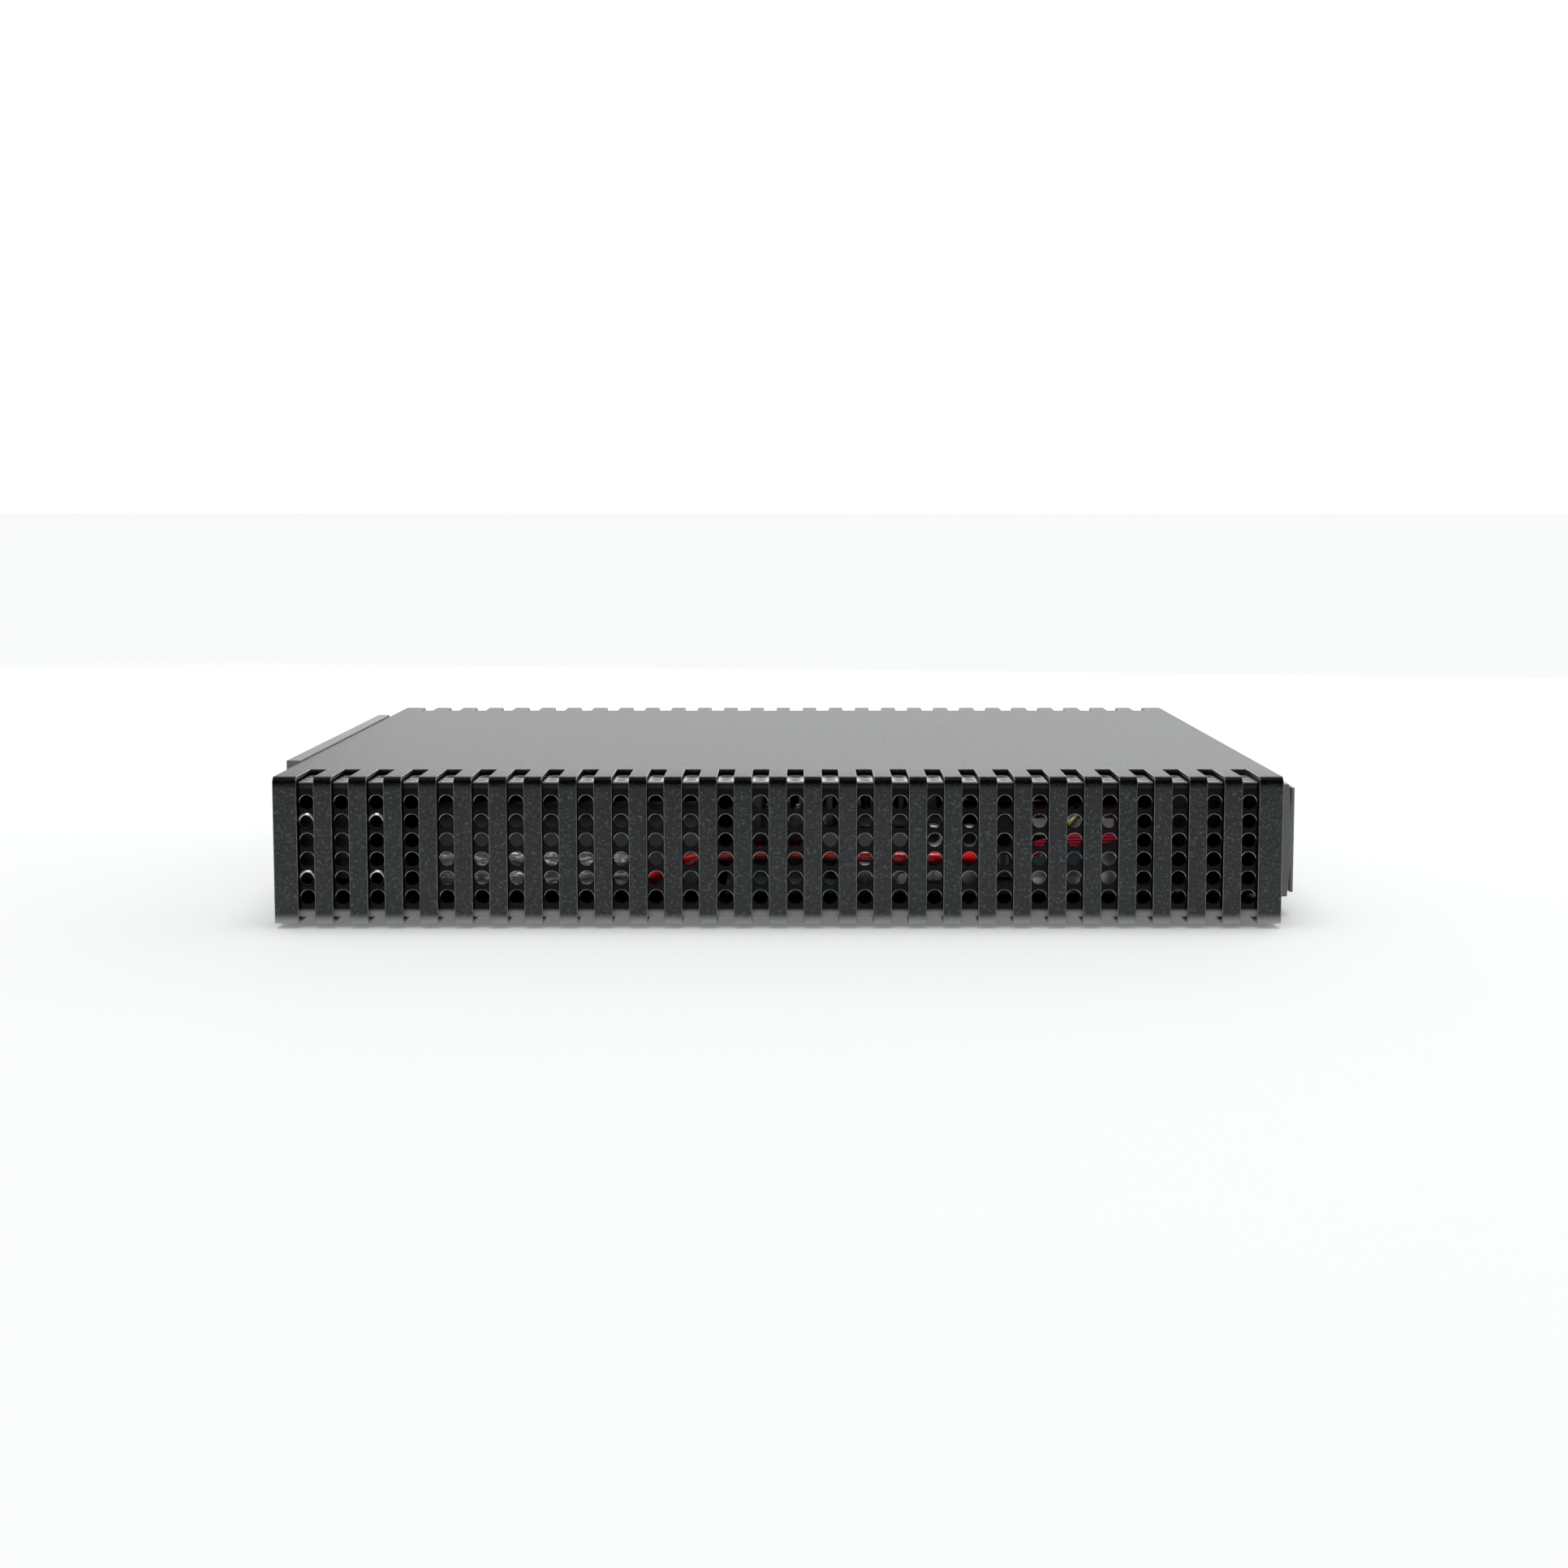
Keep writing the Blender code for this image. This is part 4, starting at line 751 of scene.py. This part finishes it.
def buildBezel():
    openings, rounds = operatorOpenings()
    low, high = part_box("bezel_base")
    bm, face, back = slabWithOpenings(low, high, 1, openings, rounds)
    half = (high.z - low.z) / 2
    middle = (high.z + low.z) / 2
    for step in range(1, ends["crownSteps"]):
        cutAcross(bm, (0, 0, low.z + 2 * half * step / ends["crownSteps"]), (0, 0, 1))
    drawBack(bm, back - face)
    bmesh.ops.recalc_face_normals(bm, faces=bm.faces[:])
    for vert in bm.verts:
        if abs(vert.co.x - face) < 1e-6:
            vert.co.x += ends["crown"] * (1 - ((vert.co.z - middle) / half) ** 2)
    base = addPiece("bezelBase", bm, "plate", "grey_moulding", replaces=["bezel_base"])
    softenEdges(base, ends["edge"], ends["cornerSteps"], "plateEdge")

    faceLow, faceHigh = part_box("bezel_face")
    crownTop = high.x + ends["crown"]
    faceLow.x = crownTop + ends["skinGap"]
    faceHigh.x -= ends["skinInset"]
    bm, face, back = slabWithOpenings(faceLow, faceHigh, 1, openings, rounds)
    drawBack(bm, back - face)
    skin = addPiece("bezelFace", bm, "plate", "grey_moulding", replaces=["bezel_face"])
    softenEdges(skin, ends["skinEdge"], ends["cornerSteps"])


# small fittings

fittings = {"nutFlange": 2.6 * mm, "nutBore": 1.85 * mm, "nutBarrel": 2.15 * mm, "nutLong": 2.6 * mm,
            "footSteps": 48, "screwTall": 0.8 * mm, "screwRound": 0.35 * mm, "recessInset": 0.42,
            "recessDeep": 0.45 * mm}


def buildNuts():
    for index in range(1, 5):
        low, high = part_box(f"clinch_nut_{index}")
        centre = Vector(((low.x + high.x) / 2, low.y, (low.z + high.z) / 2))
        bore, flange = fittings["nutBore"], fittings["nutFlange"]
        barrel, end = fittings["nutBarrel"], fittings["nutLong"]
        profile = [(bore, end), (bore, 0.06 * mm), (bore + 0.06 * mm, 0), (barrel, 0),
                   (flange - 0.05 * mm, 0.4 * mm), (flange, 0.5 * mm), (flange, 0.6 * mm),
                   (barrel, 0.8 * mm), (barrel, end)]
        bm = bmesh.new()
        spunRing(bm, profile, centre, (0, 1, 0))
        addPiece(f"clinchNut{index}", bm, "nut", "bright_steel", replaces=[f"clinch_nut_{index}"])


def buildFeet():
    for index in range(1, 5):
        low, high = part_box(f"foot_{index}")
        centre = Vector(((low.x + high.x) / 2, (low.y + high.y) / 2, low.z))
        radius = (high.x - low.x) / 2
        tall = high.z - low.z
        profile = [(radius, tall), (radius, tall * 0.55), (radius - 0.25 * mm, tall * 0.2),
                   (radius - 0.7 * mm, 0), (radius * 0.5, 0), (radius * 0.42, 0.25 * mm),
                   (0.2 * mm, 0.25 * mm), (0.2 * mm, tall)]
        bm = bmesh.new()
        spunRing(bm, profile, centre, (0, 0, 1), fittings["footSteps"])
        addPiece(f"foot{index}", bm, "rubber", "foot_rubber", replaces=[f"foot_{index}"])


def buildScrews():
    for index in range(1, 5):
        low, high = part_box(f"bottom_screw_{index}")
        centre = Vector(((low.x + high.x) / 2, (low.y + high.y) / 2, low.z))
        radius = (high.x - low.x) / 2
        bm = bmesh.new()
        tall = fittings["screwTall"]
        rodAt(bm, centre + Vector((0, 0, tall / 2)), radius, tall, sides=40, tip=radius)
        bm.normal_update()
        under = next(f for f in bm.faces if f.normal.z < -0.9)
        roundEdges(bm, under.edges[:], fittings["screwRound"], 3)
        bm.normal_update()
        under = min((f for f in bm.faces if f.normal.z < -0.9), key=lambda f: f.calc_center_median().z)
        bmesh.ops.inset_region(bm, faces=[under], thickness=radius * fittings["recessInset"])
        hexed = bmesh.ops.extrude_discrete_faces(bm, faces=[under])["faces"]
        bmesh.ops.translate(bm, verts=hexed[0].verts[:], vec=(0, 0, fittings["recessDeep"]))
        addPiece(f"bottomScrew{index}", bm, "steel", "bright_steel", replaces=[f"bottom_screw_{index}"])


# leads inside the chassis

leads = {
    "power": [(-41, -111.4, 12.8), (-40.9, -116, 12.9), (-38.4, -121.4, 14.2), (-33, -124.2, 17.2),
              (-27, -124.8, 19.6), (-18, -124.8, 21.2), (-6, -124.4, 21.6), (8, -124.2, 21.4),
              (20, -124.4, 20.8), (34, -124.4, 20.1), (48, -123.4, 19.8), (57, -119.4, 19.2),
              (62.4, -112, 17.6), (64, -100.4, 15.6)],
    "ribbon": [(74.5, -110.2, 17.6), (73.4, -114, 17.9), (75, -118.8, 19.4), (80.5, -121.1, 21.1),
               (88, -121.5, 22.4), (98, -121, 24.2), (103.5, -118.2, 25), (107, -111.5, 25.4),
               (108.5, -101, 25.4), (110.5, -90, 25.2), (114, -78, 24.6), (118, -66, 23.4)],
    "overTop": [(0, -113, 31.1), (0.3, -112.5, 32.2), (1.1, -110.8, 33), (2.2, -107.2, 33.2),
                (3.4, -101, 32.6), (4.2, -95, 29.6), (4.7, -90.4, 24), (4.6, -88, 18),
                (4.4, -87.4, 12.6)],
    "across": [(84.4, -116.3, 27.4), (84.8, -119, 27.9), (86.2, -120, 30), (88.2, -119.2, 32),
               (89.7, -116.4, 33.2), (90.4, -112, 33.8), (90.8, -106, 33.9), (91, -99, 32.4),
               (91.2, -92.6, 27), (91.2, -89, 19.6), (91.2, -88, 12.6)],
    "powerRadius": 1.9 * mm, "wireRadius": 0.72 * mm, "ribbonHeight": 4.6 * mm,
    "ribbonThick": 0.8 * mm,
}


def smoothRoute(points, steps):
    route = [Vector(p) * mm for p in points]
    padded = [route[0] * 2 - route[1]] + route + [route[-1] * 2 - route[-2]]
    result = []
    for i in range(1, len(padded) - 2):
        a, b, c, d = padded[i - 1:i + 3]
        for step in range(steps):
            t = step / steps
            result.append(0.5 * ((2 * b) + (c - a) * t + (2 * a - 5 * b + 4 * c - d) * t ** 2
                                 + (3 * b - a - 3 * c + d) * t ** 3))
    return result + [route[-1]]


def buildLead(name, points, radius, finishName, replaces=(), sides=5):
    curve = bpy.data.curves.new(name, "CURVE")
    curve.dimensions = "3D"
    curve.bevel_depth = radius
    curve.bevel_resolution = sides
    curve.use_fill_caps = True
    spline = curve.splines.new("POLY")
    spline.points.add(len(points) - 1)
    for slotPoint, point in zip(spline.points, points):
        slotPoint.co = (*point, 1)
    curve.materials.append(finish[finishName])
    piece = bpy.data.objects.new(name, curve)
    bpy.context.scene.collection.objects.link(piece)
    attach(piece, "root")
    if replaces:
        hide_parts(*replaces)


def buildLeads():
    buildLead("powerLead", smoothRoute(leads["power"], 8), leads["powerRadius"], "red",
              ["dc_lead"], 7)
    for index, x in ((1, 76), (3, 97)):
        for strand, offset in enumerate((-1.7, 0, 1.7)):
            route = [(x + offset + px, py + 0.3 * strand, pz) for px, py, pz in leads["overTop"]]
            stands = [f"header_wire_{index}"] if strand == 1 else ()
            buildLead(f"headerWire{index}{'abc'[strand]}", smoothRoute(route, 6), leads["wireRadius"],
                      "darkRed", stands)
    buildLead("yellowWire", smoothRoute(leads["across"], 6), leads["wireRadius"], "yellow",
              ["header_wire_2"])
    beside = [(x - 1.9, y + 0.2, z - 1.2) for x, y, z in leads["across"][:-1]]
    buildLead("greenWire", smoothRoute(beside, 6), leads["wireRadius"] * 1.3, "green")


def buildRibbon():
    bm = bmesh.new()
    verts = [bm.verts.new(p) for p in smoothRoute(leads["ribbon"], 6)]
    edges = [bm.edges.new(pair) for pair in zip(verts, verts[1:])]
    raised = bmesh.ops.extrude_edge_only(bm, edges=edges)["geom"]
    bmesh.ops.translate(bm, verts=[v for v in raised if isinstance(v, bmesh.types.BMVert)],
                        vec=(0, 0, leads["ribbonHeight"]))
    piece = addPiece("ribbonCable", bm, "ribbon", "crimson_ribbon", replaces=["ribbon_cable"])
    thicken(piece, leads["ribbonThick"], 0.0)
    softenEdges(piece, 0.25 * mm)


# board parts seen through the vents

innards = {
    "film": (-107, -44, 8.6, 20.9, -112.7), "filmCells": (84, 18), "filmDepth": 1.5 * mm,
    "modules": [((9, -108.5, 19.2), (62, -100.5, 27.2), "greyPart"),
                ((20, -109.5, 27.6), (50, -101, 31.6), "slatePart"),
                ((62.5, -109.5, 27.0), (69.5, -103, 32.0), "greyPart"),
                ((20.5, -113.5, 9.9), (60.5, -108.8, 15.4), "paleBlock")],
    "coils": [((45.2, -113.2, 25.0), 4.2, 2.0), ((56.4, -113.2, 24.6), 4.4, 2.1),
              ((35.8, -118.4, 12.9), 2.9, 1.5)],
    "cans": [(24.6, -116.6, 3.4, 7.5)],
    "shield": [((70.4, -117.2, 9.9), (90.2, -110.8, 15.2)),
               ((91.2, -117.0, 9.9), (104.6, -110.6, 20.6))],
    "pinStep": 2.54, "pinHalf": 0.32,
    "pins": [((41.5, 51.0), -119.6, 9.9, 16.4), ((61.5, 71.5), -119.0, 14.0, 19.6)],
}


def scaled(values):
    return Vector(values) * mm


def buildFilm():
    x0, x1, z0, z1, y = (v * mm for v in innards["film"])
    bm = bmesh.new()
    across, up = innards["filmCells"]
    place = Matrix.Translation(((x0 + x1) / 2, y, (z0 + z1) / 2)) @ Matrix.Rotation(math.pi / 2, 4, "X")
    bmesh.ops.create_grid(bm, x_segments=across, y_segments=up, size=0.5,
                          matrix=place @ Matrix.Diagonal((x1 - x0, z1 - z0, 1, 1)))
    film = addPiece("supplyFilm", bm, "film", "bright_steel", sharp=180)
    folds = bpy.data.textures.new("filmFolds", "CLOUDS")
    folds.noise_scale = 0.011
    folds.noise_depth = 3
    crease = film.modifiers.new("crease", "DISPLACE")
    crease.texture = folds
    crease.texture_coords = "LOCAL"
    crease.direction = "Y"
    crease.strength = innards["filmDepth"] * 2
    thicken(film, 0.1 * mm)


def buildCoil(index, centre, outer, inner):
    # a ring standing on edge
    bm = bmesh.new()
    middle = (outer + inner) / 2 * mm
    section = (outer - inner) / 2 * mm
    profile = [(middle + section * math.cos(a), section * 1.3 * math.sin(a))
               for a in (i * math.pi / 6 for i in range(12))]
    spunRing(bm, profile, scaled(centre), (0, 1, 0), 44)
    addPiece(f"coil{index}", bm, "winding", "dark_moulding")


def buildCan(index, x, y, radius, tall):
    bm = bmesh.new()
    height = tall * mm
    rodAt(bm, (x * mm, y * mm, boardTop + 0.3 * mm + height / 2), radius * mm, height, "Z", 36)
    rims = [e for e in bm.edges if abs(e.verts[0].co.z - e.verts[1].co.z) < 1e-7]
    roundEdges(bm, rims, 0.5 * mm, 3)
    addPiece(f"can{index}", bm, "canSleeve", "supply_case")
    bm = bmesh.new()
    rodAt(bm, (x * mm, y * mm, boardTop + 0.35 * mm + height), (radius - 0.7) * mm, 0.16 * mm, "Z", 32)
    addPiece(f"canTop{index}", bm, "tin", "tinned_shell")


def buildPins(index, span, y, low, high):
    left, right = span
    bm = bmesh.new()
    boxAt(bm, scaled((left, y, low)), scaled((right, y + 5.2, low + 2.5)))
    roundEdges(bm, bm.edges[:], 0.2 * mm, 2)
    addPiece(f"pinStrip{index}", bm, "black", "dark_moulding")
    bm = bmesh.new()
    step, half = innards["pinStep"], innards["pinHalf"]
    for column in range(int((right - left) / step)):
        x = left + step / 2 + column * step
        for row in (1.3, 3.9):
            boxAt(bm, scaled((x - half, y + row - half, low + 2.4)),
                  scaled((x + half, y + row + half, high)))
    addPiece(f"pins{index}", bm, "winding", "bright_steel")


# sockets and status lamps

sockets = {"mouthInset": 3.4 * mm, "mouthTall": 8.0 * mm, "consoleLow": 3.0 * mm, "contacts": 8,
           "contactPitch": 1.02 * mm, "contactHalf": 0.17 * mm, "contactSpan": (2.0 * mm, 12.5 * mm),
           "contactDrop": (0.05 * mm, 2.8 * mm), "lampRecess": 0.3 * mm, "lampPitch": 6.6 * mm,
           "lampHalf": (2.1 * mm, 0.9 * mm), "lampDeep": 2.5 * mm}


def springContacts(bm, faceX, inward, centreY, rootZ, side):
    # sprung wires that start at the mouth's root side and lean into it
    near, far = sockets["contactSpan"]
    shallow, deep = sockets["contactDrop"]
    half = sockets["contactHalf"]
    for index in range(sockets["contacts"]):
        y = centreY + (index - (sockets["contacts"] - 1) / 2) * sockets["contactPitch"]
        for vert in boxAt(bm, (0, y - half, -half), (1, y + half, half)):
            along = round(vert.co.x)
            vert.co.x = faceX + inward * (far if along else near)
            vert.co.z += rootZ + side * (deep if along else shallow)


def buildContacts():
    for index in (1, 2, 3, 4):
        low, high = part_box(f"rj45_stack_{index}")
        centre = (low.y + high.y) / 2
        bm = bmesh.new()
        springContacts(bm, low.x, 1, centre, low.z + sockets["mouthInset"] + sockets["mouthTall"], -1)
        springContacts(bm, low.x, 1, centre, high.z - sockets["mouthInset"] - sockets["mouthTall"], 1)
        bmesh.ops.recalc_face_normals(bm, faces=bm.faces[:])
        addPiece(f"jackContacts{index}", bm, "gold", "bright_steel")
    low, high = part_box("console_jack")
    bm = bmesh.new()
    springContacts(bm, high.x, -1, (low.y + high.y) / 2,
                   low.z + sockets["consoleLow"] + sockets["mouthTall"], -1)
    bmesh.ops.recalc_face_normals(bm, faces=bm.faces[:])
    addPiece("consoleContacts", bm, "gold", "bright_steel")


def buildStatusLamps():
    low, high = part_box("light_pipe")
    middle = (low + high) / 2
    crispBox("lampBar", low, (high.x - sockets["lampRecess"], high.y, high.z), "black", "clear_acrylic",
             replaces=["light_pipe"])
    halfY, halfZ = sockets["lampHalf"]
    for index, finishName in enumerate(("greenLamp", "greenLamp", "amberLamp", "acrylic", "acrylic",
                                        "greenLamp")):
        y = middle.y + (index - 2.5) * sockets["lampPitch"]
        crispBox(f"statusLamp{index + 1}", (high.x - sockets["lampDeep"], y - halfY, middle.z - halfZ),
                 (high.x, y + halfY, middle.z + halfZ), finishName, "clear_acrylic", 0.25 * mm)


def buildInnards():
    buildFilm()
    for index, (low, high, finishName) in enumerate(innards["modules"]):
        crispBox(f"module{index + 1}", scaled(low), scaled(high), finishName, "supply_case", 0.5 * mm, 3)
    for index, coil in enumerate(innards["coils"]):
        buildCoil(index + 1, *coil)
    for index, can in enumerate(innards["cans"]):
        buildCan(index + 1, *can)
    for index, (low, high) in enumerate(innards["shield"]):
        crispBox(f"shieldCan{index + 1}", scaled(low), scaled(high), "tin", "tinned_shell", 0.35 * mm, 3)
    for index, strip in enumerate(innards["pins"]):
        buildPins(index + 1, *strip)


buildCamera()
buildSleeve()
print("sleeve")
buildVentPanel("frontPanel", "front_vent_panel", frontHoles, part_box("front_vent_panel")[0].y, 1)
buildVentPanel("rearPanel", "rear_vent_panel", rearHoles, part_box("rear_vent_panel")[1].y, -1)
print("vent panels")
buildFaceplate()
buildBezel()
print("end pieces")
buildNuts()
buildFeet()
buildScrews()
print("fittings")
buildLeads()
buildRibbon()
print("leads")
buildInnards()
print("board parts")
buildContacts()
buildStatusLamps()
print("sockets")

carried = {
    "chassis_floor": "chassis", "chassis_lid": "chassis", "left_end_wall": "chassis",
    "right_end_wall": "chassis", "power_button": "black",
    "reset_button": "black", "usb_socket": "tin", "console_jack": "socket", "mains_inlet": "black",
    "switch_housing": "black", "switch_rocker": "black", "motherboard": "board",
    "cpu_heatsink": "fins", "memory_module": "board", "memory_socket": "black", "m2_drive": "board",
    "power_supply": "supply", "power_terminal": "greyPart", "riser_card": "board",
    "header_connector": "nylon",
}
for name, node in nodes.items():
    for start, finishName in (("rj45", "socket"), ("sfp", "tin"), ("standoff", "steel"),
                              ("fan_", "black")):
        if name.startswith(start):
            carried[name] = finishName
    if name in carried:
        node.data.materials.clear()
        node.data.materials.append(finish[carried[name]])


def worldLight(world):
    world.use_nodes = True
    flow = Flow(world.node_tree)
    facing = flow.node("ShaderNodeTexCoord", output="Generated")
    behind = facing.part("Y").eased(*sky["behindSpan"])
    above = facing.part("Z").eased(*sky["aboveSpan"])
    horizon = 1 - facing.part("Z").eased(*sky["horizonSpan"])
    right = facing.part("X").eased(*sky["rightSpan"])
    left = (-1 * facing.part("X")).eased(*sky["rightSpan"])
    back = sky["behind"] + horizon * sky["horizon"] + right * sky["behindRight"]
    beside = right * sky["sideRight"] + left * sky["sideLeft"]
    level = sky["front"] + behind * back + above * sky["above"] + beside * (1 - behind)
    background = world.node_tree.nodes["Background"]
    world.node_tree.links.new(level.socket, background.inputs["Strength"])
    background.inputs["Color"].default_value = sky["tint"]


def buildStudio():
    bm = bmesh.new()
    near = studio["floorNear"]
    far = studio["floorFar"]
    bmesh.ops.create_grid(bm, x_segments=1, y_segments=1, size=0.5,
                          matrix=Matrix.Translation((0, (near + far) / 2, 0))
                          @ Matrix.Diagonal((studio["floorWide"], far - near, 1, 1)))
    mesh = bpy.data.meshes.new("studioFloor")
    bm.to_mesh(mesh)
    bm.free()
    floor = bpy.data.objects.new("studioFloor", mesh)
    bpy.context.scene.collection.objects.link(floor)
    material = bpy.data.materials.new("paleFloor")
    material.use_nodes = True
    shader = material.node_tree.nodes["Principled BSDF"]
    shader.inputs["Base Color"].default_value = studio["floorColour"]
    shader.inputs["Roughness"].default_value = 0.8
    shader.inputs["Specular IOR Level"].default_value = 0.1
    shader.inputs["Emission Color"].default_value = studio["glowColour"]
    shader.inputs["Emission Strength"].default_value = studio["floorGlow"]
    mesh.materials.append(material)
    world = bpy.data.worlds.new("softSurround")
    bpy.context.scene.world = world
    worldLight(world)
    for name, lamp in lamps.items():
        addAreaLight(name, *lamp)
    for name, (place, target, size, power) in insideLamps.items():
        addAreaLight(name, Vector(place) * mm, Vector(target) * mm, Vector(size) * mm, power, False,
                     insideSpread)
    bpy.context.scene.view_settings.view_transform = "Standard"


buildStudio()
